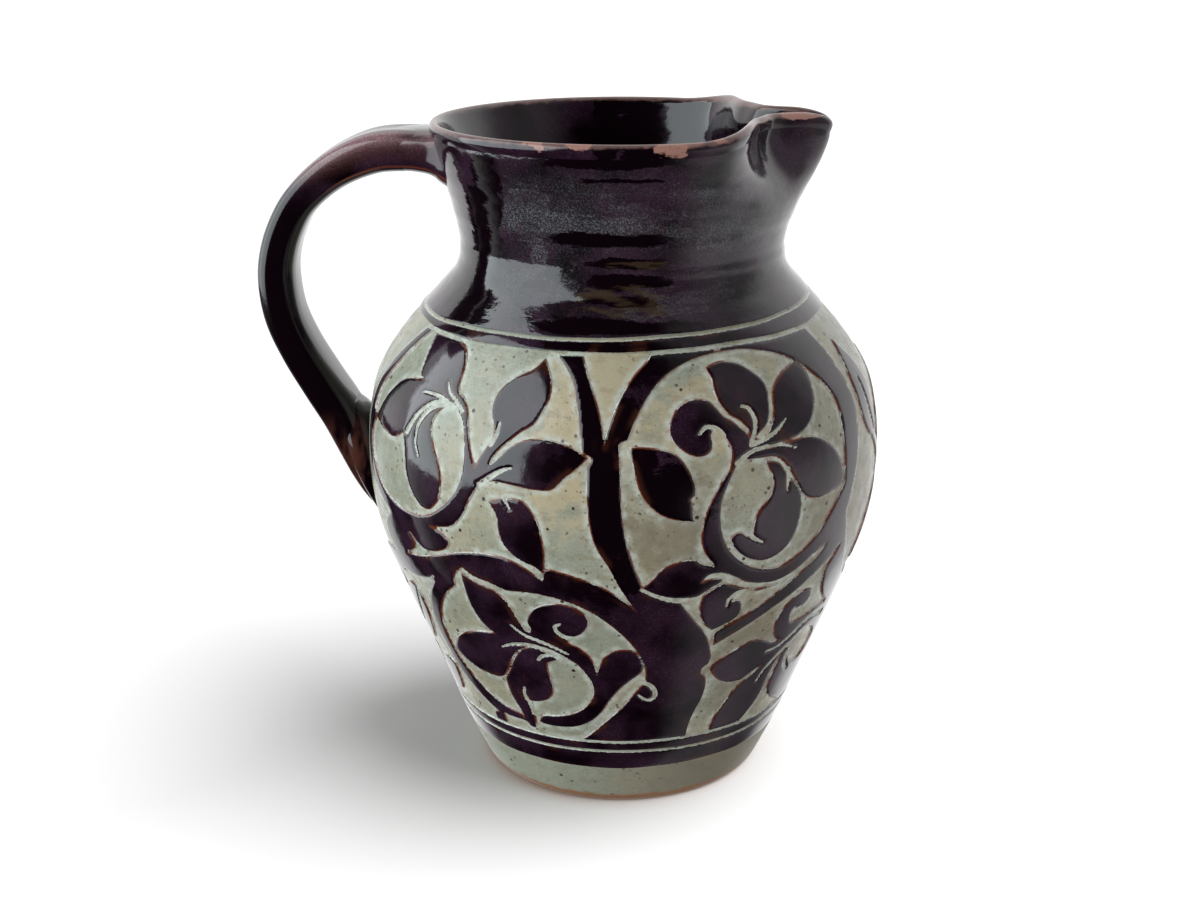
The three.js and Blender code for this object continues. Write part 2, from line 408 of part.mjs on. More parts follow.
function thrownBody() {
  const cornerTop = FLOOR + FLOOR_CORNER / 2;
  const inside = [
    ...spread(cornerTop, WAIST_HEIGHT, NECK_ROWS, 1.5), ...spread(WAIST_HEIGHT, RIM_HEIGHT - RIM_WALL, 3),
  ].toReversed();
  const rings = [
    ...footEdge.map(([z, inset]) => ringAt(z, inset)),
    ringAt(BARE_FOOT - CLEARANCE, 0),
    ...groundRows.map((z) => ringAt(z, GROUND_INSET)),
    ...rimEdge.map(([z, inset]) => ringAt(z, inset)),
    ...inside.map((z) => ringAt(z, GROUND_INSET + wallAt(z))),
    ringAt(cornerTop, GROUND_INSET + BELLY_WALL + FLOOR_CORNER / 4),
    ringAt(FLOOR, GROUND_INSET + BELLY_WALL + FLOOR_CORNER),
  ];
  return thrownSolid(rings, 0, FLOOR);
}

// The space that the body takes, filled in and grown, which cuts whatever is joined to it
function bodySpace(grow) {
  const rings = [
    ringAt(-grow, -grow), ringAt(BARE_FOOT - CLEARANCE, -grow),
    ...groundRows.map((z) => ringAt(z, GROUND_INSET - grow)),
    ringAt(rimEdge[0][0], -grow), ringAt(RIM_HEIGHT + grow, -grow),
  ];
  return thrownSolid(rings, -grow, RIM_HEIGHT + grow);
}

// A band of slip between two heights
function slipBand(from, to, rows) {
  const heights = [from, ...rows, to];
  const rings = [
    ...heights.map((z) => ringAt(z, 0)),
    ...heights.toReversed().map((z) => ringAt(z, SLIP)),
  ];
  return solidFrom(rings.flat(), ringSkin(roundAngles.length, rings.length, true, heights.length));
}

const degreesPerMm = FULL_TURN / SIDES.length / DRAWING_WIDTH;
// The front of the drawing faces -Y
const drawnAngle = (along, turn) => along * degreesPerMm - 90 + turn;

// The slip of the belly over one side, closed at its two ends
function sideBand(from, to, rows, turn) {
  const start = drawnAngle(SIDE_START, turn);
  const end = drawnAngle(SIDE_START + DRAWING_WIDTH, turn);
  const inside = [-FULL_TURN, 0, FULL_TURN].flatMap((full) => roundAngles.map((angle) => angle + full))
    .filter((angle) => angle > start + 1 && angle < end - 1);
  const angles = [start, ...inside, end];
  const heights = [from, ...rows, to];
  const positions = [
    ...heights.flatMap((z) => angles.map((angle) => wallPoint(angle, z, 0))),
    ...heights.toReversed().flatMap((z) => angles.map((angle) => wallPoint(angle, z, SLIP))),
  ];
  const count = angles.length;
  const loops = heights.length * 2;
  const triangles = [];
  for (let row = 0; row < loops; row += 1) {
    const here = row * count;
    const next = ((row + 1) % loops) * count;
    for (let i = 0; i < count - 1; i += 1) {
      triangles.push([here + i, here + i + 1, next + i + 1], [here + i, next + i + 1, next + i]);
    }
  }
  for (let row = 0; row < heights.length - 1; row += 1) {
    const [low, high] = [row * count, (row + 1) * count];
    const [inLow, inHigh] = [(loops - 1 - row) * count, (loops - 2 - row) * count];
    const far = count - 1;
    triangles.push([low, high, inHigh], [low, inHigh, inLow]);
    triangles.push([low + far, inHigh + far, high + far], [low + far, inLow + far, inHigh + far]);
  }
  return solidFrom(positions, triangles);
}

function stemOutline(centre, widths) {
  const curve = new THREE.SplineCurve(centre.map((point) => new THREE.Vector2(...point)));
  const near = [];
  const far = [];
  const steps = centre.length * 2;
  for (let i = 0; i <= steps; i += 1) {
    const t = i / steps;
    const width = t < 0.5 ? lerp(widths[0], widths[1], t * 2) : lerp(widths[1], widths[2], t * 2 - 1);
    const point = curve.getPoint(t);
    const side = curve.getTangent(t);
    const offset = new THREE.Vector2(-side.y, side.x).multiplyScalar(width / 2);
    near.push(point.clone().sub(offset));
    far.unshift(point.clone().add(offset));
  }
  return [...near, ...far];
}

// A tool whose faces run from a point on the axis, out through the flat outline laid on the belly
function carvingTool(outline, reach, shift, turn) {
  const points = THREE.ShapeUtils.isClockWise(outline) ? outline.toReversed() : outline;
  const onBelly = points.map((point) => {
    const height = mapLinear(point.y, DRAWING_LOW, DRAWING_HIGH, HIGH_FOOT_RING, SHOULDER_RING);
    return wallPoint(drawnAngle(point.x + shift, turn), height, 0);
  });
  const middle = onBelly.reduce((sum, point) => sum + point[2], 0) / points.length;
  const positions = onBelly.map(([x, y, z]) => [x * reach, y * reach, middle + (z - middle) * reach]);
  const tip = positions.push([0, 0, middle]) - 1;
  const faces = THREE.ShapeUtils.triangulateShape(points, []);
  return solidFrom(positions, [...faces, ...capFan(points.length, 0, tip, true)]);
}

// Straight facets follow a long run with half of its points, and keep both of its ends
function sparseRun(run) {
  if (run.length < LONG_RUN) return run;
  return run.filter((_, index) => index % 2 === 0 || index === run.length - 1);
}

const drawn = CARVING.map(([mark, name, data]) => ({
  mark,
  name: name.replaceAll(" ", "_"),
  outline: mark === "stem"
    ? stemOutline(...data) : data.flatMap(sparseRun).map((point) => new THREE.Vector2(...point)),
}));
const reachesSide = (shape, shift) => shape.outline.some(
  (point) => point.x + shift > SIDE_START && point.x + shift < SIDE_START + DRAWING_WIDTH);

// A shape's tools for one side: shapes that cross its ends come in again from the neighbouring side
function toolsFor(shape, reach, turn) {
  const shifts = [-DRAWING_WIDTH, 0, DRAWING_WIDTH].filter((shift) => reachesSide(shape, shift));
  return shifts.map((shift) => carvingTool(shape.outline, reach, shift, turn));
}

// The slip of one side with its ground cut away. What a later shape keeps isn't cut by an earlier one
function carvedSide(band, shapes, turn) {
  let carved = band;
  shapes.forEach((shape, index) => {
    if (shape.mark !== "cut") return;
    const kept = shapes.slice(index + 1).filter((later) => later.mark === "keep" || later.mark === "stem");
    const keepers = kept.flatMap((later) => toolsFor(later, KEEP_REACH, turn));
    for (const tool of toolsFor(shape, CUT_REACH, turn)) {
      carved = carved.subtract(keepers.reduce((left, keeper) => left.subtract(keeper), tool));
    }
  });
  return carved;
}

// Moves stations drawn for the strap so that its root and its tail sit in the wall, and the rest between them
function seated(stations) {
  const root = STRAP[0];
  const tail = STRAP.at(-1);
  const rootHeight = RIM_HEIGHT - ROOT_DROP;
  const rootShift = [ROOT_DEPTH - formRadius(rootHeight) - root[0], rootHeight - root[1]];
  const tailShift = [TAIL_DEPTH - formRadius(TAIL_HEIGHT) - tail[0], TAIL_HEIGHT - tail[1]];
  return stations.map(([x, z, halfThick, halfWidth]) => {
    const share = mapLinear(z, root[1], tail[1], 0, 1);
    const [sideways, upwards] = [0, 1].map((axis) => lerp(rootShift[axis], tailShift[axis], share));
    return [x + sideways, z + upwards, halfThick, halfWidth];
  });
}

const strapSeats = seated(STRAP);

// The strap's centre line and thickness at a distance out from its root
function strapAt(along) {
  const next = Math.max(1, strapSeats.findIndex(([x]) => strapSeats[0][0] - x >= along));
  const [before, after] = [strapSeats[next - 1], strapSeats[next]];
  const share = (strapSeats[0][0] - along - before[0]) / (after[0] - before[0]);
  return before.map((value, i) => lerp(value, after[i], share));
}

const upperJoinSeats = UPPER_JOIN.map(([along, thicker, wider]) => {
  const [x, z, halfThick, halfWidth] = strapAt(along);
  return [x, z - thicker / 2, halfThick + thicker / 2, halfWidth + wider];
});
const lowerJoinSeats = seated(LOWER_JOIN);

// Sections of a strap square to its centre line, rounded, with a shallow groove down the outer face
function strapSolid(seats, grow, groove) {
  const curve = new THREE.CatmullRomCurve3(seats.map(([x, z]) => new THREE.Vector3(x, 0, z)));
  const rounded = (value) => Math.sign(value) * Math.abs(value) ** 0.75;
  const rings = seats.map(([, , halfThick, halfWidth], index) => {
    const t = index / (seats.length - 1);
    const centre = curve.getPoint(t);
    const along = curve.getTangent(t);
    const out = new THREE.Vector3(along.z, 0, -along.x);
    return Array.from({ length: STRAP_FACETS }, (_, i) => {
      const turn = (i / STRAP_FACETS) * Math.PI * 2;
      const across = rounded(Math.sin(turn)) * (halfWidth + grow);
      const dip = Math.cos(turn) > 0 ? groove * Math.max(0, 1 - Math.abs(across) / (halfWidth / 2)) : 0;
      const depth = rounded(Math.cos(turn)) * (halfThick + grow) - dip;
      return centre.clone().addScaledVector(out, depth).add(new THREE.Vector3(0, across, 0)).toArray();
    });
  });
  const positions = rings.flat();
  const start = positions.push(curve.getPoint(0).toArray()) - 1;
  const end = positions.push(curve.getPoint(1).toArray()) - 1;
  const triangles = ringSkin(STRAP_FACETS, rings.length, false);
  triangles.push(...capFan(STRAP_FACETS, 0, start, true));
  triangles.push(...capFan(STRAP_FACETS, (rings.length - 1) * STRAP_FACETS, end, false));
  return solidFrom(positions, triangles);
}

function addPiece(name, solid, material) {
  const shape = solid.getMesh();
  const geometry = new THREE.BufferGeometry();
  geometry.setAttribute("position", new THREE.Float32BufferAttribute(shape.vertProperties, 3));
  geometry.setIndex(new THREE.Uint32BufferAttribute(shape.triVerts, 1));
  geometry.computeVertexNormals();
  const piece = new THREE.Mesh(geometry, material);
  piece.name = name;
  jug.add(piece);
}

const space = bodySpace(CLEARANCE);
const strapSpace = strapSolid(strapSeats, CLEARANCE, 0);
const joinSpaces = [upperJoinSeats, lowerJoinSeats].map((seats) => strapSolid(seats, CLEARANCE, 0));
const handleSpace = wasm.Manifold.union([strapSpace, ...joinSpaces]);
const joinSolid = (seats) => strapSolid(seats, 0, 0).subtract(strapSpace).subtract(space);

addPiece("thrown_body", thrownBody(), colours.clay);
addPiece("pulled_handle", strapSolid(strapSeats, 0, STRAP_GROOVE).subtract(space), colours.strap);
addPiece("upper_handle_join", joinSolid(upperJoinSeats), colours.strap);
addPiece("lower_handle_join", joinSolid(lowerJoinSeats), colours.strap);

const half = RING_WIDTH / 2;
addPiece("low_foot_slip_band", slipBand(BARE_FOOT + CLEARANCE, LOW_FOOT_RING - half, []), colours.slip);
addPiece("high_foot_slip_band", slipBand(LOW_FOOT_RING + half, HIGH_FOOT_RING - half, []), colours.slip);
addPiece("shoulder_slip_band", slipBand(SHOULDER_RING + half, HIGH_SHOULDER_RING - half, []), colours.slip);
const neckCoat = slipBand(HIGH_SHOULDER_RING + half, COAT_TOP, neckRows).subtract(handleSpace);
addPiece("neck_slip_coat", neckCoat, colours.slip);

SIDES.forEach((side, index) => {
  const turn = (index * FULL_TURN) / SIDES.length;
  const band = sideBand(HIGH_FOOT_RING + half, SHOULDER_RING - half, bellyRows, turn);
  // The sprig under the lip has no twin on the other side, where the handle lands
  const shapes = drawn.filter((shape) => index === 0 || !shape.name.startsWith("sprig"));
  addPiece(`${side}_vine_slip`, carvedSide(band, shapes, turn).subtract(handleSpace), colours.slip);
  const islands = shapes.filter((shape) => shape.mark === "island");
  for (const [name, alike] of Object.entries(Object.groupBy(islands, (island) => island.name))) {
    const tools = alike.flatMap((island) => toolsFor(island, KEEP_REACH, turn));
    addPiece(`${side}_${name}_slip`, band.intersect(wasm.Manifold.union(tools)), colours.slip);
  }
});

export default jug;
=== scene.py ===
# The looks of a carved stoneware jug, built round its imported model. The scene is in metres, while the sizes
# below are in millimetres, as they are in the part's source. The handle points to -X and the lip to +X.
import math

import bpy
import numpy as np
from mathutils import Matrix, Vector


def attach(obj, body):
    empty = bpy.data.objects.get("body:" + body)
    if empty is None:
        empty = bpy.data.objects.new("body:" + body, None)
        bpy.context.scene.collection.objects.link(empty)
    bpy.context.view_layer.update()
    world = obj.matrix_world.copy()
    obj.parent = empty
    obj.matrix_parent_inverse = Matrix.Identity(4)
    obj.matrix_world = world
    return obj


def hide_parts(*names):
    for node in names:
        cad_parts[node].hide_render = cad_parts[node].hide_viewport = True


# A millimetre in metres, and a metre in millimetres
MM = 0.001
METRE = 1000

# The thrown form outside its slip: heights and radii, and the shares of the climb and of the radius change
FOOT_RADIUS = 49.8
BELLY_RADIUS = 90.4
BELLY_HEIGHT = 119
WAIST_RADIUS = 56
WAIST_HEIGHT = 190
RIM_RADIUS = 66
RIM_HEIGHT = 232
FOOT_TO_BELLY = [(0, 0), (0.1, 0.14), (0.35, 0.44), (0.6, 0.73), (0.8, 0.94)]
BELLY_TO_WAIST = [(0.2, 0.03), (0.4, 0.14), (0.6, 0.41), (0.8, 0.79), (0.9, 0.96)]
WAIST_TO_RIM = [(0, 0), (0.3, 0.2), (0.65, 0.62), (1, 1)]
FORM_STEP = 0.2

# The pulled lip: its reach, the pinch and the rise beside it, and the angles from +X where they act
LIP_REACH = 6
LIP_PINCH = 14
LIP_RAISE = 3
LIP_STRAIGHT = 6
LIP_HALF_ANGLE = 9.5
LIP_SHARPNESS = 2.6
LIP_WIDENING = 1.2
LIP_SOFTENING = 0.5
PINCH_END_HEIGHT = 13
PINCH_FULL_ANGLE = 27
PINCH_END_ANGLE = 62
RAISE_FULL_ANGLE = 43
RAISE_END_ANGLE = 70

# The finger's dent beside the lip: degrees from +X, height, half sizes and depth
DIMPLE_TURN = 346
DIMPLE_HEIGHT = 224.5
DIMPLE_HALF_ANGLE = 1.5
DIMPLE_HALF_HEIGHT = 2.6
DIMPLE_DEPTH = 0.5

# The throwing ridges of the neck: their depth, their climb per degree, the heights where they fade, and
# their waves as share, pitch and start
RIDGE_DEPTH = 0.17
RIDGE_CLIMB = 0.012
RIDGES_FROM = 176
RIDGES_TO = 226
RIDGES_FADE = 8
RIDGE_WAVES = [(0.5, 1.02, 0), (0.34, 0.61, 1.3), (0.2, 1.73, 0.4)]

# Heights of the bare foot's edge, of the incised rings and of the coat's upper edge
BARE_FOOT = 17.3
LOW_FOOT_RING = 25.2
HIGH_FOOT_RING = 29.8
SHOULDER_RING = 168
HIGH_SHOULDER_RING = 172
COAT_TOP = RIM_HEIGHT - 2.6

# The course of each ring: its height, its tilt as a share of the radius, and how unevenly it runs
SHOULDER_TILT = 0.0286
HIGH_SHOULDER = (HIGH_SHOULDER_RING, SHOULDER_TILT, 0.18)
LOW_SHOULDER = (SHOULDER_RING, SHOULDER_TILT * 0.4, 0.22)
HIGH_FOOT = (HIGH_FOOT_RING, 0, 0.16)
LOW_FOOT = (LOW_FOOT_RING, 0, 0.14)
FOOT_LINE = (BARE_FOOT, 0, 0.35)
HALF_RING = 1.25 / 2

# Depths inside the outer face, and the reach and curve of the slip's cut sides
GROUND_DEPTH = 0.62
GROUND_BACK = 2.7
WALL_BACK = 3.2
JOIN_SINK = 1.6
UNDERSIDE = 0.35
SKIRT_DEPTH = 1.0
SKIRT_REACH = 0.62
SKIRT_CURVE = 0.85
EDGE_ROUND = 0.09
EDGE_ROUNDING = 0.4
INSIDE_RINGS = (0.3, 0.7, 1.3)

# The neck's coat: where it thins out under the rim, and how its back comes forward there
COAT_THINNING = 4.5
COAT_TOP_DEPTH = 0.5
COAT_BACK_RISE = 0.9
COAT_BACK_FROM = 0.8

# The carved ground: its lower and upper end, the cutter's marks as depth, pitch and fade, how unevenly they
# come as size and seed, the lumps as depth, size and seed, and the limits of marks and lumps together
GROUND_LOW = BARE_FOOT + 3
GROUND_HIGH = HIGH_SHOULDER_RING + 5
CUTTER_MARKS = (0.07, 2.3, 4)
CUTTER_LUMPS = (30, 5)
GROUND_LUMPS = [(0.06, 9, 1), (0.04, 4, 2)]
GROUND_LIMITS = (-0.16, 0.12)
BACK_RINGS = 14

# The body's turned profile: heights, or rises from the rim, each with its depth inside the outer face
FLOOR = 7
FLOOR_CORNER = 12
FLOOR_RING = 12
FOOT_HOLLOW = 0.5
FOOT_PROFILE = [(FOOT_HOLLOW, 30), (0.45, 6), (0, 3.4), (0, 2.4), (0.35, 1.3), (1.1, 0.5), (2.4, 0.1)]
FOOT_ROWS = np.arange(3.6, 17.4, 1.1)
BEHIND_SLIP = [(18.2, 0.25), (19.2, 0.9), (20, WALL_BACK)]
HIDDEN_ROWS = np.linspace(22, 220, 60)
CREST_PROFILE = [
    (-9, 2.6), (-7.5, 1.5), (-6, 0.7), (-5, 0.36), (-4, 0.16), (-3, 0.06), (-2.2, 0.12), (-1.4, 0.4),
    (-0.75, 0.9), (-0.25, 1.5), (0, 2.1), (-0.1, 2.7), (-0.5, 3.3), (-1.2, 3.75), (-2.2, 4.0),
]
INSIDE_TOP = RIM_HEIGHT - 3.4
INSIDE_DEPTHS = [(FLOOR, 6.8), (BELLY_HEIGHT, 6.8), (WAIST_HEIGHT, 5.8), (222, 4.9), (INSIDE_TOP, 4.1)]
INSIDE_ROWS = np.linspace(INSIDE_TOP, FLOOR + FLOOR_CORNER, 96)
LEVEL_DEPTHS_ABOVE = 188

# The strap along its centre line, from its root at the neck to its tail: x, z, half thickness, half width
STRAP = [
    (-58, 222.6, 6.6, 15.5), (-66, 222.3, 6.5, 14.4), (-71, 222.3, 7.4, 13.7), (-84, 221.3, 7.4, 12.6),
    (-98, 215.2, 6.8, 12.2),
    (-109.4, 205.4, 6.3, 12), (-115.6, 195, 6.4, 12), (-118.8, 184.4, 6.6, 12), (-119.2, 174.6, 6.8, 12),
    (-117.4, 163.6, 6.8, 12.2), (-112.6, 152, 6.8, 12.4), (-105.8, 139.8, 6.9, 12.8), (-99.4, 129, 7, 13.2),
    (-95, 119, 6.6, 13), (-91.6, 109.6, 5.8, 11.4), (-88.9, 102, 4.6, 9), (-86.8, 96.6, 3.4, 6),
]
STRAP_GROOVE = 1.0
GROOVE_SHARE = 0.45
STRAP_ROUNDING = 0.6
STRAP_SIDES = 56
# Clay smoothed round the two ends of the strap, in the same terms
UPPER_JOIN = [
    (-53, 219.4, 12.4, 21), (-58, 220.4, 10, 18.8), (-61.4, 221.2, 8.5, 17), (-65, 221.7, 7.7, 15.6),
    (-70, 222, 7.25, 14.4), (-76, 221.9, 6.9, 13), (-83, 221.2, 6, 11.2),
]
LOWER_JOIN = [
    (-96.8, 133, 3, 8), (-94.4, 127, 5.4, 12.4), (-92, 119, 5.9, 14.6), (-89.6, 110, 5.3, 14.2),
    (-87.4, 102, 4.2, 12), (-85.6, 95, 3, 8.2), (-84.6, 90.6, 2, 4),
]

# Steps of the grids: degrees round the jug, and millimetres up the wall's slope
TURN_STEP = 0.75
BAND_STEP = 0.5
BAND_RISE = 1.0
RELIEF_STEP = 0.5
RELIEF_RISE = 0.72
GROUND_STEP = 2 / 3
GROUND_RISE = 1.12

# The relief: its lower and upper end, how far an edge and a line are felt, how near to them a point of the
# grid snaps to them, how far beside an edge the slip is looked for, and how veins and rings blend in
RELIEF_LOW = HIGH_FOOT_RING - 1.6
RELIEF_HIGH = SHOULDER_RING + 2.4
EDGE_REACH = 6.0
LINE_REACH = 3.0
WINDOW_WIDENING = 1.5
SNAP = 0.3
BESIDE_EDGE = 0.12
SHORTEST_EDGE = 1e-3
VEIN_BLEND = 0.4
VEIN_OVERLAP = 0.3
RING_OVERLAP = 0.6

# Glazes and clays
BLACK_PLUM = (0.003, 0.0009, 0.0022)
PLUM = (0.021, 0.0075, 0.0175)
DARK_RED = (0.04, 0.009, 0.006)
THIN_BROWN = (0.045, 0.013, 0.006)
HAZE = (0.3, 0.335, 0.34)
RUST = (0.085, 0.022, 0.009)
PINK = (0.3, 0.155, 0.125)
KHAKI = (0.036, 0.022, 0.013)
# The rim's crest: thin glaze over clay, lightened as a painted highlight
CREST_BROWN_AND_HIGHLIGHT = (0.2, 0.115, 0.1)
PALE_CUT = (0.33, 0.33, 0.27)
FROST = (0.43, 0.46, 0.41)
GROUND_GREEN = (0.225, 0.235, 0.18)
GROUND_BUFF = (0.27, 0.245, 0.17)
GROUND_GREY = (0.155, 0.16, 0.12)
WARM_BUFF = (0.4, 0.325, 0.2)
STROKE_BROWN = (0.2, 0.15, 0.09)
STAIN_BROWN = (0.13, 0.1, 0.06)
IRON = (0.035, 0.017, 0.01)
BASE_ORANGE = (0.22, 0.09, 0.035)
# Painted shade on the foot, darker and more olive towards the lip side
FOOT_SHADE_OLIVE = (0.12, 0.1, 0.065)
# The painted highlight on the strap's shoulder: red at its edge, mauve where it faces up
HIGHLIGHT_RED = (0.07, 0.024, 0.022)
HIGHLIGHT_MAUVE = (0.32, 0.19, 0.2)
TAIL_RED = (0.1, 0.035, 0.022)
LINE_RED = (0.13, 0.03, 0.015)
GLAZE_IOR = 1.52
GROUND_IOR = 1.5

# Patches of colour, each with its place across and its height, its half length and its half height
WARM_GROUND = [(-6, 158, 15, 16), (-20, 140, 9, 26), (30, 150, 16, 12)]
STAINED_GROUND = [(13, 118, 12, 20), (44, 60, 16, 26), (74, 112, 12, 26)]
# Blacker slip round the front's trunk: partly thicker slip, partly a painted dark reflection
THICK_SLIP_AND_PAINTED_DARK = [(-6, 132, 16, 44), (-2, 168, 30, 5), (17, 126, 13, 13)]
# Painted shade inside the neck, black in its middle
PAINTED_INSIDE_SHADE = [(3, 200, 16, 60)]
# Painted dark reflections on the neck: black streaks without haze, where its ridges and its left side mirror
# dark
PAINTED_DARK_REFLECTIONS = [
    (-5, 201.2, 20, 2.6), (1, 193.6, 12, 1.7), (2, 187.6, 14, 2.6), (-5, 174.8, 30, 2.2),
    (-4, 226.6, 22, 2.8), (-1, 220.8, 14, 0.8), (-1, 182, 13, 1.4), (-44, 206, 5, 24), (-50, 180, 8, 14),
]
KHAKI_PATCHES = [(-1, 183.6, 16, 3), (3, 179.6, 14, 2.2), (4, 193.4, 10, 1.4)]
BRIGHT_PATCHES = [
    (-34, 209, 9, 9), (-16, 205, 20, 5), (4, 206, 16, 6), (34, 207, 11, 11), (-25, 194, 7, 5),
    (20, 182, 16, 3), (-31, 184, 8, 7),
]
WORN_PATCHES = [(-26, 231.4, 2.6, 2), (-13.5, 231.4, 2.8, 1.8), (15.5, 230.8, 4.4, 2.8), (61, 234, 6.5, 1)]

# Where a finish, a painted shade or a painted highlight begins to change and where it has changed: a height,
# or a place across or towards the back
HAZE_FADES_IN = (184, 204)
HAZE_FADES_OUT = (228, 212)
HAZE_ACROSS = (-43, -35)
FLAKES = (226.5, 228)
FLAKES_FRONT = (4, -4)
ORANGE_BASE = (4.4, 2.6)
FOOT_SHADE_ACROSS = (-30, 36)
CREST_WEAR_AND_HIGHLIGHT = (230.4, 231.6)
LIP_CREST_ACROSS = (28, 44)
LIP_END_ACROSS = (86, 66)
FOOT_TO_INSIDE = (18, 24)
# Painted shade: the strap turns blacker below these heights
STRAP_SHADE_BELOW = (212, 200)
STRAP_TAIL = (134, 118)
# Painted highlight on the strap's shoulder, above these heights
STRAP_HIGHLIGHT = (208, 221)
STRAP_LINE = (206, 214)
# How steeply the haze slants, and how much higher the worn crest, partly a painted highlight, lies beside the
# lip
HAZE_SLANT = 0.1
LIP_CREST_RISE = 2.4

# The camera: the photograph's width, focal length and axis in pixels, the sensor's width in millimetres, the
# camera's place in metres and its pitch in radians
IMAGE_WIDTH = 1200
SENSOR_WIDTH = 36
CAMERA_FOCAL = 1749.35
CAMERA_AXIS = 622.3
CAMERA_PLACE = (0, -0.5982, 0.3072)
CAMERA_PITCH = 0.31255

# The studio, in metres. A place round the jug begins with degrees from the camera's side towards the lip.
FLOOR_DEPTH = 30
FLOOR_FRONT = 6
FLOOR_TONES = ((0.92, 0.92, 0.92), (0.9, 0.9, 0.9))
CARD_TONES = ((0, 0, 0), (0.002, 0.002, 0.002))
# Each sunlight: azimuth, elevation, strength and the angle over which it is spread
FLOOR_SUN = (77, 57, 3.55, 63)
BACK_SUN = (182, 30, 1.3, 60)
FRONT_SUN = (18, -12, 1.1, 60)
PANEL_PLACE = (-74, 1.2, 0.6)
PANEL_AIM = (0, 0, 0.2)
PANEL_SIZE = (1.75, 1.7)
PANEL_RADIANCE = 3.4
PANEL_TINT = (0.88, 0.97, 1.0)
# Each black card: azimuth, distance, width, and the heights of its lower and upper edge
LOW_CARD = (-114, 0.6, 0.24, -0.6, 0.06)
HIGH_CARD = (-115, 0.6, 0.22, 0.5, 1.3)
# How bright the room is, seen by the camera, as light on surfaces, and mirrored from each side
BACKDROP = 1.05
ROOM_LIGHT = 0.55
BACK_GLOW = 1.25
RIGHT_GLOW = 0.32
LOW_RIGHT_GLOW = 0.55
LEFT_GLOW = 0.16

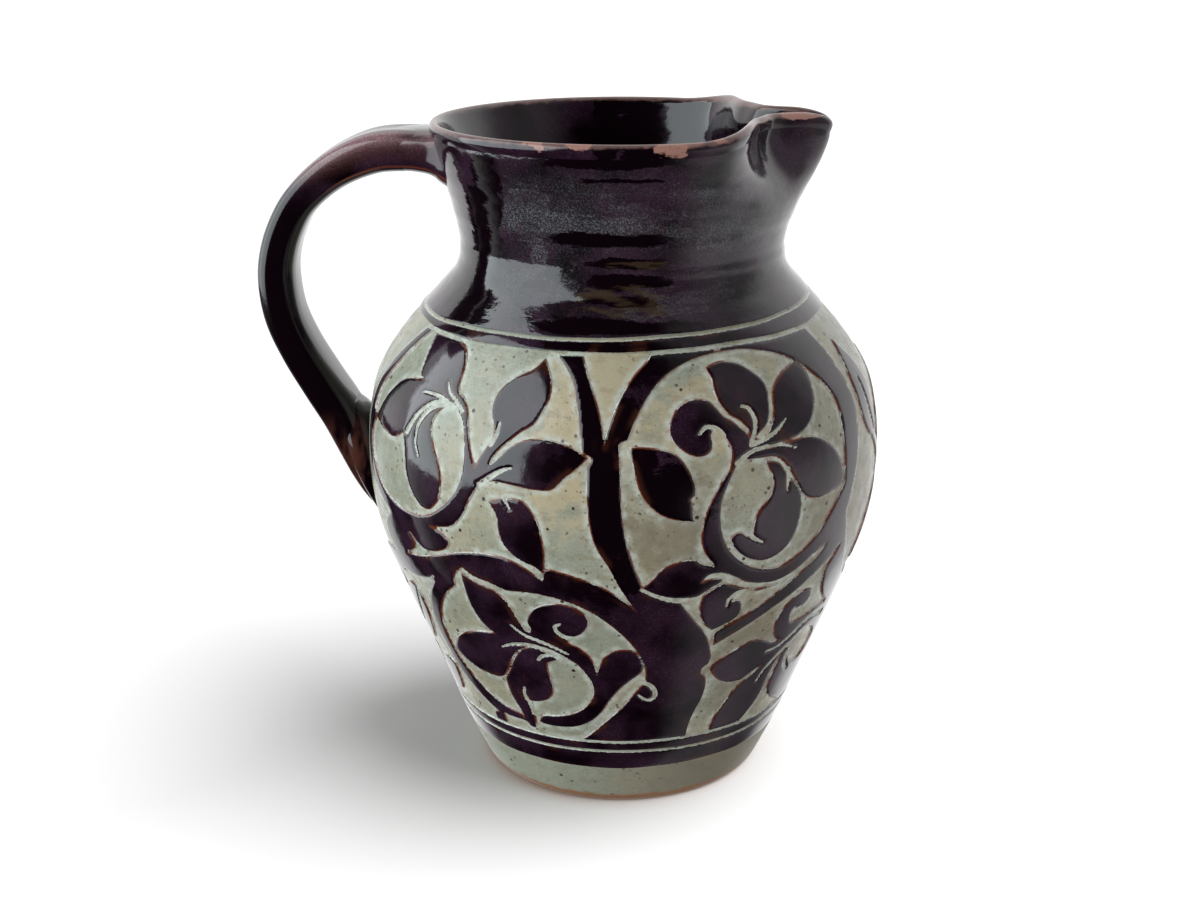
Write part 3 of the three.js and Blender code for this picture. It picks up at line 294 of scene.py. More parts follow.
# The carving, on the belly rolled out flat: [mm round the belly from the front, mm above the base]. One
# drawing covers half of the belly and comes again on the other half. A cut takes the slip away, and what is
# kept, a stem or an island is left standing in it, an island free of the rest. Their outlines are smooth
# runs that meet in corners. A line is a tapered gouge through the slip: its centre and its three widths.
MM_PER_DEGREE = 1.5
DRAWING_ROUND = 360 * MM_PER_DEGREE
DRAWING_WIDTH = DRAWING_ROUND / 2
DRAWING_START = -114.2
DRAWING_MARGIN = 8
FRONT_TURN = -90
CARVING = [
  ["cut", "collar notch", [[[-16, 169], [-12, 161.5], [-8.6, 155], [-6.6, 149]], [[-5.6, 143.2], [-4,
    149], [-1, 155.5], [4, 162], [9, 165.7]], [[13, 169]]]],
  ["cut", "right scroll ground", [[[6.2, 96.2], [3.4, 104], [1, 113], [-0.4, 124], [-0.8, 134]], [[-1.2,
    144], [0.2, 144.6]], [[1.6, 145], [4, 150.5], [8, 156.2], [13, 160.8], [20, 164.2], [30, 166.6],
    [45, 167.3], [57, 165.8], [68, 162.4], [76, 156.6], [81, 150], [82.6, 142], [82.2, 130]], [[81.8,
    119.4], [76, 113.5], [69, 106], [61, 100.6], [52, 97.6], [43, 99.2], [36, 104], [31.6, 110], [29.8,
    118], [30.4, 125], [32.8, 130.5]], [[35.6, 135.4], [32.6, 133.2], [29.6, 129], [26.8, 124]], [[24.7,
    118.6], [24.2, 112]], [[25.6, 107], [28.6, 102.6], [24.6, 103.6]], [[22.4, 105.3], [17.5, 105.2],
    [12.4, 103], [9.6, 99.6]]]],
  ["keep", "right scroll flower heart", [[[33, 131.6], [36, 136.1], [40, 137.6], [46, 138.2], [45.6,
    141], [40.6, 142.6], [36.6, 140.4], [34.2, 137]]]],
  ["keep", "right scroll hook petal", [[[37.4, 137.2], [40.3, 143], [36.8, 147.2], [33, 149.9], [30.6,
    152.8], [28.3, 154.7], [23.6, 155.2], [19, 153.8], [16, 150.8], [14.8, 147.4], [16, 144], [18.4,
    141.6], [21.2, 139.8], [24.4, 139.2], [27, 140.2], [28, 142.6], [27.6, 145.2], [29.6, 146.8], [32,
    144.8], [34, 141.8], [34.4, 139]], [[34, 134.4]]]],
  ["line", "right scroll curl", [[[31.6, 145], [29.4, 147], [26.4, 147.5], [24, 145.6]], [2.2, 1.5,
    1]]],
  ["keep", "right scroll top petal", [[[30.8, 163.3], [35.5, 164.4], [41, 164.2], [46.5, 162.3], [51.8,
    157.4], [50.8, 152.4], [49.4, 148.6], [47.4, 145.8], [43, 143]], [[40.4, 140.4], [41.2, 144.6],
    [38.6, 148.2]], [[35, 150.4], [32.9, 153.4], [31.8, 157], [32, 160.6]]]],
  ["line", "right scroll top vein", [[[40, 152.2], [42.4, 151.3], [43.8, 148.4], [43.2, 145.2], [41.2,
    141.6]], [1.1, 1.6, 1.2]]],
  ["keep", "right scroll upper petal", [[[41, 139.6], [48, 143.4], [51.4, 148], [53.2, 152.8], [55.8,
    156.2], [60.4, 158.6], [65.4, 160.1], [69.4, 160.9], [72.2, 159.4], [72.8, 156.2], [71.4, 150.8],
    [68.4, 146.2], [64, 142.5], [58, 140.5], [50, 139.8]]]],
  ["line", "right scroll upper vein", [[[41, 140.6], [46.4, 141.8], [51.4, 143.6], [55.9, 146.6]], [1.6,
    1.5, 0.6]]],
  ["keep", "right scroll side petal", [[[36.6, 136.6], [44, 138.4], [54, 139], [62, 139.4], [68, 138.2],
    [73.2, 135.4], [77.4, 131.2], [80.2, 126], [80.8, 121.8]], [[79.4, 119.6], [74, 118.9], [68, 118.5],
    [63.4, 119.6], [60.4, 121.4], [57.5, 126], [54.5, 131.5], [50, 135.8], [43, 136.4]]]],
  ["line", "right scroll side vein", [[[35.6, 135.6], [40.4, 138.4], [47, 139.4], [53, 138.8], [58.3,
    136.9]], [1.6, 1.3, 0.6]]],
  ["island", "right scroll lower petal", [[[45.6, 135], [50.6, 133.4], [52.8, 130.4], [55, 127.4], [58,
    123.4], [59.5, 119.3], [59, 114], [57.4, 109], [54.4, 104.9], [50, 102.4], [45.4, 101.8], [40.5,
    103.3], [36.5, 106.4], [34.3, 109.4]], [[33.8, 111.9], [36.4, 113], [38.8, 111.2], [41.2, 110.8],
    [41.4, 113.4], [41.8, 116.6], [43.4, 119.6], [46.2, 122.2], [48, 125.2], [48.3, 128.6], [47.4,
    132]]]],
  ["line", "right scroll lower vein", [[[39.6, 112.6], [41.6, 110.2], [44.9, 108.2]], [2, 1.5, 0.7]]],
  ["line", "right scroll short vein", [[[54.4, 131], [53.9, 127], [53.5, 123.4]], [1.5, 1.1, 0.5]]],
  ["island", "right stem leaf", [[[2.4, 142.7], [8, 142.3], [12.6, 141.4], [16.4, 139.8], [19.4, 136],
    [21.4, 131.6], [21.9, 128]], [[20.4, 126.2], [20.9, 122.4]], [[21.4, 118.7], [16.6, 119.6], [11.6,
    121.6], [7.8, 125.2], [5.4, 129.4], [3.7, 135.4]]]],
  ["line", "low bud edge", [[[5.9, 95.8], [10.4, 93.3], [15.4, 91.4], [20.6, 90.6]], [1.3, 1.6, 2.4]]],
  ["cut", "right stem ground", [[[18, 90.9], [21, 86.4], [24.4, 81.6], [28, 77.2], [30.8, 72.6], [32.6,
    67.8]], [[33.7, 63.9], [34.6, 67]], [[33.6, 71], [32.9, 75.6], [38, 78.3], [45, 81.6], [52, 85.6],
    [58, 89.3], [65, 93.4], [71, 97]], [[74.6, 100.6], [68, 98.4], [60, 94.5], [53, 92.7], [47, 93.1],
    [41, 94.7], [36.4, 97.4], [33, 99.2], [30, 100], [26.8, 99.6]], [[24.4, 96.9], [28.6, 97.7], [31.8,
    96.9], [29, 95.3], [26.4, 93.6], [24, 92.1], [21, 91.6]]]],
  ["island", "heart bud", [[[26, 91.6], [29.2, 93.9], [32.6, 95.3], [36, 94.1], [40, 92.4], [46, 91],
    [54.4, 90.6]], [[46, 90.2], [41.6, 91.3], [37.4, 90.2], [36.4, 87.6], [38.4, 87.9], [40.3, 86.2],
    [40.7, 83.2], [39.2, 80.7], [35.6, 78.8]], [[31.4, 77.2], [28.8, 79.4], [26.5, 83], [25.5, 87.2]]]],
  ["line", "heart curl", [[[42, 91], [38.2, 91.2], [35.2, 89.2], [34.9, 86.2]], [1.6, 1.4, 0.9]]],
  ["cut", "lower right ground", [[[33.7, 70.6], [40, 73.7], [48, 77.6], [56, 81.6], [64, 85.4]], [[73,
    90.3], [79, 94.2], [84, 97]], [[78, 88.6], [81, 82], [86, 76.6], [92, 72.6]], [[98, 69.8], [91, 71],
    [84, 70.9], [76, 70.3], [70, 70.6], [67.4, 73], [67, 77], [70.6, 76.2], [74.4, 77.4], [75.4, 80.4],
    [73.6, 83], [70, 83.6], [66, 82.8], [62.8, 80.6], [60.2, 77], [59.7, 73], [60.8, 69], [63, 65.8]],
    [[67, 63.9], [62, 64.4], [57.6, 66.4], [53.6, 67.9], [49.6, 68.1], [45, 66.6], [40.6, 64.8], [36.8,
    62.6]], [[33, 60.9]]]],
  ["line", "lower right long vein", [[[60.2, 61], [66, 61.2], [72, 63.4], [79, 66.6], [87, 67.6], [96,
    66]], [0.8, 1.6, 2.2]]],
  ["line", "lower right short vein", [[[61.2, 48.2], [63.6, 52.4], [68, 56.2], [73, 59], [80, 60]],
    [0.8, 1.6, 2.4]]],
  ["cut", "lower right kidney", [[[76, 61.4], [83, 63.4], [91, 61.6], [97, 57], [98, 51.6], [92, 48.2],
    [84, 49.6], [78, 53.6]], [[76.2, 57.6]]]],
  ["line", "lower right kidney vein", [[[76.6, 55.6], [78.6, 50.4], [83.4, 46.6]], [1.8, 1.6, 0.6]]],
  ["cut", "lower trunk ground", [[[30.5, 60.8], [33, 62.6], [35, 61.6]], [[34.6, 59.6], [37, 56.6],
    [40.6, 53.6], [45.4, 51.9]], [[51, 51.5], [56, 53.8], [60.4, 55.4], [56.6, 52.2], [51.8, 49.6],
    [48.8, 46.6], [46.2, 42.6], [44, 39], [42.8, 35]], [[42, 29]], [[29.8, 29], [30.2, 36], [31.6,
    41.6], [33.4, 46.6], [34, 52], [33, 56.6]], [[30.6, 58.6]]]],
  ["cut", "lower right base ground", [[[58, 29], [62, 32.6], [66, 36.8], [68, 41], [68.2, 47], [69.6,
    54.4]], [[72, 57.4], [71.4, 50], [71.6, 44.4], [73.4, 39.6], [79, 36], [86, 33]], [[96, 29]]]],
  ["cut", "trunk left ground", [[[4.6, 87.4], [1.6, 92.4], [-1.4, 98], [-4.4, 104.6], [-7.6, 110.4],
    [-9.4, 117], [-10.3, 126]], [[-10.4, 136.6], [-9, 139.2], [-12, 141.4]], [[-12.6, 144.6], [-13.6,
    150], [-15, 155.4], [-17, 160.4], [-21, 164.6]], [[-28, 168.9]], [[-78, 168.9]], [[-70, 166.4],
    [-65.4, 165], [-62.4, 162], [-61, 158], [-60.6, 155.4]], [[-59.2, 153.4], [-56, 152], [-53, 148.8],
    [-51.4, 144], [-49.8, 138.8], [-48.4, 135]], [[-47, 132.2], [-45.8, 135.4], [-43.6, 139], [-41.8,
    142.2]], [[-40.2, 147.4], [-40.2, 143]], [[-42.4, 132.6], [-44.6, 129.6]], [[-45.6, 127.2], [-47.6,
    124.6], [-49.6, 121], [-51.4, 117], [-54, 113.6], [-57.4, 111]], [[-67.2, 108.6], [-61.4, 107.6]],
    [[-58.2, 105.4], [-59.4, 103], [-63, 101], [-68, 99.4], [-73, 99.6]], [[-80, 104.4], [-76.6, 98.6]],
    [[-84, 93.4], [-74, 95.4], [-64, 98.8], [-55, 102], [-46, 103.9], [-38, 103.9], [-31.4, 101.8]],
    [[-24.7, 97.2], [-23.6, 101.6], [-18, 100.9], [-12, 99], [-6, 96.4], [-1, 92.6]]]],
  ["keep", "left upper leaf", [[[-29.2, 165.8], [-32.4, 162.8], [-37.4, 160.6], [-41.4, 157.8], [-43.6,
    154.2], [-43.4, 149.8], [-41.6, 146]], [[-41.4, 139], [-45.4, 133]], [[-42.8, 134.4], [-39.8,
    138.8], [-36, 142.6], [-32, 146], [-28.4, 148.4], [-26.2, 152], [-24.6, 156.4], [-25.6, 161]]]],
  ["line", "left upper leaf vein", [[[-40, 147.4], [-40.4, 144], [-42, 140.6]], [0.8, 1.3, 1.5]]],
  ["keep", "left middle leaf", [[[-44.8, 130.6], [-41.6, 134], [-38, 137.6], [-34.6, 141], [-30, 143.2],
    [-25, 143.9], [-20, 143.4], [-15, 141.8]], [[-10.6, 139.4], [-14, 136], [-17.4, 133], [-20.2, 130],
    [-22.6, 128.8], [-28, 128.7], [-34, 129.3], [-40, 129.6]], [[-44.6, 128.4]]]],
  ["line", "left middle leaf vein", [[[-45.4, 127.4], [-41.4, 130.6], [-37.6, 133.2], [-34.2, 134.5]],
    [2, 1.7, 0.7]]],
  ["island", "left lower leaf", [[[-41.6, 122.6], [-37.6, 124], [-33.6, 124.6], [-30.4, 124], [-28,
    121.6], [-26, 118], [-24.7, 113], [-24, 107]], [[-24.5, 100.4], [-27.4, 102.7], [-31, 104], [-34.6,
    106.2], [-37.4, 109.6], [-38.6, 114], [-39, 118]]]],
  ["line", "left lower leaf vein", [[[-38.4, 126], [-36.2, 123.8], [-34.4, 120.8]], [1.6, 1.2, 0.5]]],
  ["cut", "left scroll kidney", [[[-58, 149.6], [-62, 149.2], [-65.2, 147.2], [-66.9, 143.4], [-66.4,
    139.6], [-64.6, 135.4], [-62.3, 131.4], [-60.8, 127], [-61, 122.6]], [[-62, 118.6], [-66, 114.9],
    [-70, 114.9], [-74.4, 118.2], [-77.6, 124], [-79, 131]], [[-81, 137.4], [-87, 134], [-95, 134.4]],
    [[-104.6, 136.4], [-107.6, 130], [-104, 121], [-96, 114.6], [-86, 111.2], [-76, 110.4], [-68,
    111.9], [-61, 116], [-55.4, 121.6], [-52.4, 127], [-51.2, 133.4], [-51.8, 140.4], [-53.8, 146]]]],
  ["line", "left scroll inner vein", [[[-71.6, 131.2], [-73.8, 135.4], [-73.8, 140], [-71.6, 144.4],
    [-67.4, 148], [-62, 149.6], [-57.6, 149]], [0.8, 1.8, 1.8]]],
  ["line", "left scroll outer vein", [[[-79, 137.6], [-75, 144], [-70, 148.4], [-65, 150]], [2.2, 1.7,
    1]]],
  ["line", "left scroll upper vein", [[[-76, 151], [-69, 151.4], [-63, 150.4], [-58, 148.8]], [0.7, 1.4,
    1.4]]],
  ["line", "left scroll small vein", [[[-65.6, 155.4], [-62.4, 152.6], [-58.6, 151], [-54.8, 148.6]],
    [0.7, 1.2, 1.2]]],
  ["cut", "left scroll corner ground", [[[-90, 169], [-96, 163], [-102, 154.6], [-106, 146]], [[-108.6,
    138], [-104, 137]], [[-100, 142], [-95, 148], [-89, 152.4]], [[-76, 154.3], [-81.4, 155.2]],
    [[-83.6, 159], [-86.4, 164.4]]]],
  ["cut", "left ring ground", [[[-54.4, 97.2], [-50, 94.8], [-44.6, 93.9]], [[-38, 92], [-30, 92.6],
    [-22, 91.8], [-15, 89.6], [-9, 86.2], [-3.6, 81.6], [1.4, 76.2], [5.6, 70.2], [8.6, 63.6]], [[9.2,
    57.4], [6, 53.4], [1.2, 47], [-3.4, 42.4], [-8, 38.3], [-12.4, 34.4]], [[-19.6, 29]], [[-58.6, 29]],
    [[-59.4, 34.6], [-53, 34.4], [-46.6, 34.2]], [[-44, 32.2], [-41.6, 32.4], [-40.4, 37], [-40.2, 41]],
    [[-40.4, 44.6], [-36.4, 45.2], [-32.4, 46.6], [-29.6, 49], [-28.3, 52.4], [-28.6, 57], [-29, 61]],
    [[-28.4, 63.8], [-25, 65.2], [-21.6, 65.8]], [[-33.6, 69.6], [-38.6, 66.6], [-42.6, 61.8], [-46,
    56.6]], [[-49.6, 52.4], [-49.8, 47.6], [-48.8, 43], [-47, 39]], [[-46, 35.4], [-49, 37], [-55,
    38.2], [-61, 40.2], [-67, 43.8], [-73, 49.2], [-77, 55], [-78.6, 62], [-77.4, 68.6], [-74, 75],
    [-69, 80.8], [-63.4, 86]], [[-59.8, 88.4], [-58.6, 93]]]],
  ["island", "left ring flower", [[[-54.8, 94.8], [-50, 92.8], [-44.6, 91.3], [-40.6, 89], [-38.2,
    85.4], [-36.6, 81]], [[-34.4, 75.4], [-36, 71.6]], [[-46, 71.8], [-50.4, 73.6], [-53.4, 77.4], [-55,
    82.6], [-55.3, 89]]]],
  ["island", "left ring flower", [[[-38, 72.8], [-46, 72.2], [-52, 71.5], [-58, 70.2], [-64, 67.8],
    [-70, 64.2], [-74, 60.2], [-75.2, 57.4], [-72, 54.9], [-66, 52.9], [-60, 52], [-54, 52.2]], [[-50,
    53.7], [-47.2, 57], [-44, 62], [-40, 66.6], [-36, 69.3]]]],
  ["island", "left ring flower", [[[-36, 70.4], [-32.2, 76.4], [-32.6, 80.4], [-31, 83.7], [-28.4,
    86.6], [-25, 88.3], [-20.4, 89], [-16, 88.3], [-12.8, 86.2], [-11.4, 83.4], [-12, 80.4], [-14,
    77.8], [-17, 76], [-19.4, 73.4], [-15.6, 71.4], [-12.2, 68.4], [-10.6, 65]], [[-9.6, 60.2], [-8.2,
    63.6], [-6.6, 67.6], [-3.4, 70.4], [1, 71.2], [4.4, 70.2], [6.6, 66.4], [7.2, 62]], [[2.6, 57.8],
    [-1, 54.4], [-5, 49.4], [-9, 43.4], [-14, 39], [-21, 36], [-28, 35], [-35, 34.9]], [[-38.4, 35.4],
    [-35.6, 38.6], [-29, 39.6], [-22.6, 41.2], [-17.2, 43.8], [-13.6, 47.2], [-11.4, 51.2], [-11.4, 56],
    [-13.6, 60.4], [-17, 64.6], [-22, 67.4], [-28, 69.2]]]],
  ["island", "left ring flower", [[[-41, 69.4], [-38.4, 74], [-34.6, 76], [-30.6, 74], [-27, 70]],
    [[-33, 69.6]]]],
  ["line", "left ring curl", [[[-15.6, 75.4], [-19.6, 75.6], [-22.6, 77.6], [-22.9, 79.9], [-21, 80.9]],
    [2.2, 1.6, 1]]],
  ["line", "left ring top vein", [[[-39.8, 77.4], [-35.6, 74.3], [-30.4, 72.7], [-25, 70.9], [-19.6,
    68.3]], [1.1, 1.6, 0.9]]],
  ["line", "left ring side vein", [[[-46.6, 66.8], [-41.4, 69.1], [-35.4, 70.1], [-29, 69.5], [-23.6,
    67.6], [-19, 64.4]], [0.8, 1.7, 2.2]]],
  ["line", "left ring small vein", [[[-31.8, 64.3], [-30, 66.2], [-26.8, 67], [-22.8, 65.8]], [1.3, 1.3,
    1]]],
  ["line", "left ring foot vein", [[[-41.6, 50.2], [-42.4, 46.8], [-41, 43], [-40.4, 38.6]], [0.9, 1.7,
    1.8]]],
  ["line", "loop tendril", [[[7, 57.4], [11, 55.4], [13.2, 52], [12.2, 49.4], [9.4, 49.2], [6.4, 51.3]],
    [1.8, 1.6, 1]]],
  ["line", "far left tendril", [[[-70, 89], [-76, 85.8], [-84, 83.6], [-93, 83]], [0.7, 1.7, 2.2]]],
  ["cut", "left corner lower ground", [[[-62, 34.2], [-66, 36], [-72, 39.4], [-78, 44.6], [-82.4, 51],
    [-84.6, 58.6], [-84.4, 66], [-81.8, 73.4], [-77, 80.4], [-70.6, 87.4]], [[-80, 84.6], [-93, 83]],
    [[-104, 80], [-112, 74], [-117, 65], [-117.6, 55]], [[-118.4, 44], [-119.6, 36]], [[-120, 29]],
    [[-66, 29]], [[-65.6, 33]]]],
  ["island", "far left leaf", [[[-88, 78.6], [-95, 78.4], [-102.4, 74.6], [-107.6, 67.6], [-109, 59]],
    [[-106, 51], [-98.6, 54.4], [-92.4, 60.4], [-89, 68]]]],
  ["line", "far left leaf vein", [[[-88, 78.6], [-95, 70], [-101.6, 61]], [1.6, 1.4, 0.6]]],
  ["island", "far left foot leaf", [[[-84.4, 48.2], [-90, 49.4], [-97.4, 46.6], [-102, 40]], [[-103,
    33.4], [-95, 33.8], [-88, 38]]]],
  ["cut", "side ground", [[[88, 169], [91.4, 161], [93, 151], [93.4, 140], [91.6, 128], [88, 117.6]],
    [[84.4, 108.8], [87.4, 99.4], [91.6, 90.6], [97, 83.4], [104, 78.4], [113, 76], [124, 77], [137,
    80.6], [150, 85], [163, 89]], [[176, 91.4], [172.4, 95.6], [173, 101]], [[179.6, 106.4], [169.6,
    111.4], [161.6, 119], [157.6, 128], [156.8, 138], [159.4, 148], [164.6, 157.6]], [[174.6, 169]]]],
  ["cut", "branch parting", [[[154, 90]], [[155.6, 90.4]], [[157.4, 68.6]], [[155.8, 68.4]]]],
  ["stem", "sprig stem", [[[138, 76], [136.4, 90], [130.4, 106], [120.6, 119], [108, 130]], [7.5, 4.6,
    3]]],
  ["keep", "sprig tip leaf", [[[110.4, 127.6], [104, 130.6], [99.2, 137.4], [97.8, 146], [99.2, 154]],
    [[102.8, 162], [109, 155.4], [113.2, 147], [114, 138], [112.4, 131]]]],
  ["keep", "sprig high leaf", [[[119.6, 119.4], [121.6, 129], [126.4, 138], [133.6, 145.6]], [[144,
    151.4], [145.4, 141.8], [142, 131.4], [135, 123], [127, 117.6]]]],
  ["keep", "sprig low leaf", [[[127.4, 110.6], [118, 107.6], [110.6, 101.6], [106.4, 94]], [[104, 84.6],
    [113.6, 85.2], [122.4, 89.8], [129, 97.6], [131, 105]]]],
  ["keep", "sprig bud", [[[133.8, 96.4], [142, 95.2], [148.8, 99.4], [152.4, 107]], [[152.8, 118.4],
    [145.6, 114.6], [139.4, 108.6], [135, 101.6]]]],
  ["line", "sprig tip vein", [[[110, 131], [106.6, 140], [104.4, 150]], [1.8, 1.5, 0.6]]],
  ["line", "sprig high vein", [[[124.6, 122.4], [132.4, 131.6], [138.6, 141.6]], [1.8, 1.5, 0.6]]],
  ["line", "sprig low vein", [[[126, 106], [118.4, 99.6], [112, 92]], [1.8, 1.5, 0.6]]],
  ["line", "sprig bud vein", [[[137, 99.4], [142.6, 105], [147.6, 111.6]], [1.6, 1.3, 0.6]]],
  ["cut", "side foot ground", [[[104, 29], [108, 36.4], [113.6, 43], [117.6, 50], [119, 57]], [[118.4,
    64.6], [125, 67.2], [133, 69.6]], [[138.4, 70.4], [140.6, 62], [140.2, 52], [137.4, 42.4], [132.6,
    34.6]], [[128, 29]]]],
  ["island", "side foot leaf", [[[133, 65.4], [127, 62.6], [123, 56], [122, 48]], [[123.6, 39.6],
    [129.4, 44.4], [133.6, 51], [135, 58.4]]]],
]

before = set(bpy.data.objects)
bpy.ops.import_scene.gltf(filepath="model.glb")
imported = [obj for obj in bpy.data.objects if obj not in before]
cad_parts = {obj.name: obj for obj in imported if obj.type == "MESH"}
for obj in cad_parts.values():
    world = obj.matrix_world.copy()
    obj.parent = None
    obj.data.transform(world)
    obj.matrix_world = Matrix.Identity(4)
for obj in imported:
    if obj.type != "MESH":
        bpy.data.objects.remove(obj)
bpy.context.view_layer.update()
bpy.ops.object.select_all(action="DESELECT")


# The thrown form


def smooth_step(t):
    t = np.clip(t, 0, 1)
    return t * t * (3 - 2 * t)


def cubic_table(stations, step):
    """A smooth curve through the stations, as fine steps of height and the radius at each."""
    x, y = np.array(stations, float).T
    slope = np.gradient(y, x)
    fine = np.arange(x[0], x[-1] + step, step)
    k = np.clip(np.searchsorted(x, fine, side="right") - 1, 0, len(x) - 2)
    span = x[k + 1] - x[k]
    t = (fine - x[k]) / span
    rise = (2 * t**3 - 3 * t**2 + 1) * y[k] + (3 * t**2 - 2 * t**3) * y[k + 1]
    return fine, rise + (t**3 - 2 * t**2 + t) * span * slope[k] + (t**3 - t**2) * span * slope[k + 1]


def form_stations():
    def between(stations, low, high):
        low, climb = np.array(low), np.subtract(high, low)
        return [tuple(low + np.array(share) * climb) for share in stations]

    belly = (BELLY_HEIGHT, BELLY_RADIUS)
    waist = (WAIST_HEIGHT, WAIST_RADIUS)
    return [
        *between(FOOT_TO_BELLY, (0, FOOT_RADIUS), belly),
        belly,
        *between(BELLY_TO_WAIST, belly, waist),
        *between(WAIST_TO_RIM, waist, (RIM_HEIGHT, RIM_RADIUS)),
    ]


FORM_HEIGHTS, FORM_RADII = cubic_table(form_stations(), FORM_STEP)
FORM_SLOPES = np.gradient(FORM_RADII, FORM_HEIGHTS)


def form_radius(z):
    return np.interp(z, FORM_HEIGHTS, FORM_RADII)


def steepness(z):
    """How much longer the wall is than it is high, at a height."""
    return np.hypot(1, np.interp(z, FORM_HEIGHTS, FORM_SLOPES))


def from_lip(turn):
    return np.abs((turn + 180) % 360 - 180)


def lip_shift(away, z):
    full_height = RIM_HEIGHT - LIP_STRAIGHT
    pinch_low = WAIST_HEIGHT + PINCH_END_HEIGHT
    reach = LIP_REACH * smooth_step((z - WAIST_HEIGHT) / (full_height - WAIST_HEIGHT))
    pinch = LIP_PINCH * smooth_step((z - pinch_low) / (full_height - pinch_low))
    below = np.clip((RIM_HEIGHT - z) / (RIM_HEIGHT - WAIST_HEIGHT), 0, 1)
    half_angle = LIP_HALF_ANGLE * (1 + LIP_WIDENING * below)
    channel = np.exp(-((away / half_angle) ** (LIP_SHARPNESS - LIP_SOFTENING * below)))
    beside = smooth_step((PINCH_END_ANGLE - away) / (PINCH_END_ANGLE - PINCH_FULL_ANGLE))
    return (reach + pinch) * channel - pinch * beside


def lip_rise(away, z):
    beside = smooth_step((RAISE_END_ANGLE - away) / (RAISE_END_ANGLE - RAISE_FULL_ANGLE))
    height = smooth_step((z - WAIST_HEIGHT) / (RIM_HEIGHT - WAIST_HEIGHT))
    return LIP_RAISE * beside * smooth_step(away / LIP_HALF_ANGLE) * height


def throwing_marks(turn, z):
    """Low ridges that the thrower's fingers left round the neck, in millimetres."""
    ring = z + RIDGE_CLIMB * turn
    ridges = sum(share * np.sin(ring * pitch + start) for share, pitch, start in RIDGE_WAVES)
    neck = smooth_step((z - RIDGES_FROM) / RIDGES_FADE) * smooth_step((RIDGES_TO - z) / RIDGES_FADE)
    patchy = 0.65 + 0.35 * np.sin(np.radians(turn) * 2 + z * 0.05)
    return RIDGE_DEPTH * ridges * neck * patchy


def dimple(turn, z):
    across = ((turn + 360) % 360 - DIMPLE_TURN) / DIMPLE_HALF_ANGLE
    return DIMPLE_DEPTH * np.exp(-(across**2) - ((z - DIMPLE_HEIGHT) / DIMPLE_HALF_HEIGHT) ** 2)


def wall_points(turn, z, depth):
    """Points of the wall: degrees from +X, height, and how far inside the outer face, all as arrays."""

    def radius(at):
        return form_radius(z) + lip_shift(from_lip(at), z) + throwing_marks(at, z) - dimple(at, z)

    here = radius(turn)
    slope = (radius(turn + 0.5) - radius(turn - 0.5)) / math.radians(1)
    length = np.hypot(here, slope)
    out = here - depth * here / length
    along = depth * slope / length
    angle = np.radians(turn)
    x = out * np.cos(angle) - along * np.sin(angle)
    y = out * np.sin(angle) + along * np.cos(angle)
    return np.stack([x, y, z + lip_rise(from_lip(turn), z)], axis=-1)


def ring_height(ring, turn):
    """An incised ring goes round a little askew and unevenly."""
    base, tilt, wobble = ring
    angle = np.radians(turn)
    uneven = np.sin(3 * angle + base) + 0.6 * np.sin(7 * angle + 2 * base) + 0.3 * np.sin(17 * angle)
    return base + tilt * form_radius(base) * np.cos(angle) + wobble * uneven


def slope_rows(low, high, rise):
    """Heights from low to high in even steps along the slope of the wall."""
    run = np.cumsum(steepness(FORM_HEIGHTS)) * (FORM_HEIGHTS[1] - FORM_HEIGHTS[0])
    start, end = np.interp([low, high], FORM_HEIGHTS, run)
    count = max(2, round((end - start) / rise) + 1)
    return np.interp(np.linspace(start, end, count), run, FORM_HEIGHTS)


# The drawing's outlines


def curve_through(points, steps=6):
    p = [np.array(point, float) for point in points]
    p = [2 * p[0] - p[1], *p, 2 * p[-1] - p[-2]]
    fine = []
    for a, b, c, d in zip(p, p[1:], p[2:], p[3:]):
        for t in np.arange(steps) / steps:
            bend = (2 * a - 5 * b + 4 * c - d) * t**2 + (3 * b - a - 3 * c + d) * t**3
            fine.append(0.5 * (2 * b + (c - a) * t + bend))
    return [*fine, p[-2]]


def closed_outline(runs):
    following = [*runs[1:], runs[0]]
    pieces = [curve_through([*run, after[0]])[:-1] for run, after in zip(runs, following)]
    return np.array(sum(pieces, []))


def tapered(points, widths):
    """A line's centre and its half width at each point."""
    centre = np.array(curve_through(points))
    share = np.linspace(0, 1, len(centre))
    return centre, np.interp(share, [0, 0.5, 1], widths) / 2


def side_of(along):
    """Unit steps to the left of a course."""
    return np.stack([-along[:, 1], along[:, 0]], axis=1) / np.linalg.norm(along, axis=1)[:, None]


def stem_outline(points, widths):
    centre, half = tapered(points, widths)
    side = side_of(np.gradient(centre, axis=0))
    return np.vstack([centre + side * half[:, None], (centre - side * half[:, None])[::-1]])


def in_outline(points, outline):
    """Which points lie inside a closed outline, by the even-odd rule."""
    inside = np.zeros(len(points), bool)
    low, high = outline.min(axis=0), outline.max(axis=0)
    near = np.flatnonzero(np.all((points > low) & (points < high), axis=1))
    x, y = points[near].T
    odd = np.zeros(len(near), bool)
    for (ax, ay), (bx, by) in zip(outline, np.roll(outline, -1, axis=0)):
        if ay == by:
            continue
        crosses = (ay > y) != (by > y)
        odd ^= crosses & (x < ax + (y - ay) * (bx - ax) / (by - ay))
    inside[near] = odd
    return inside


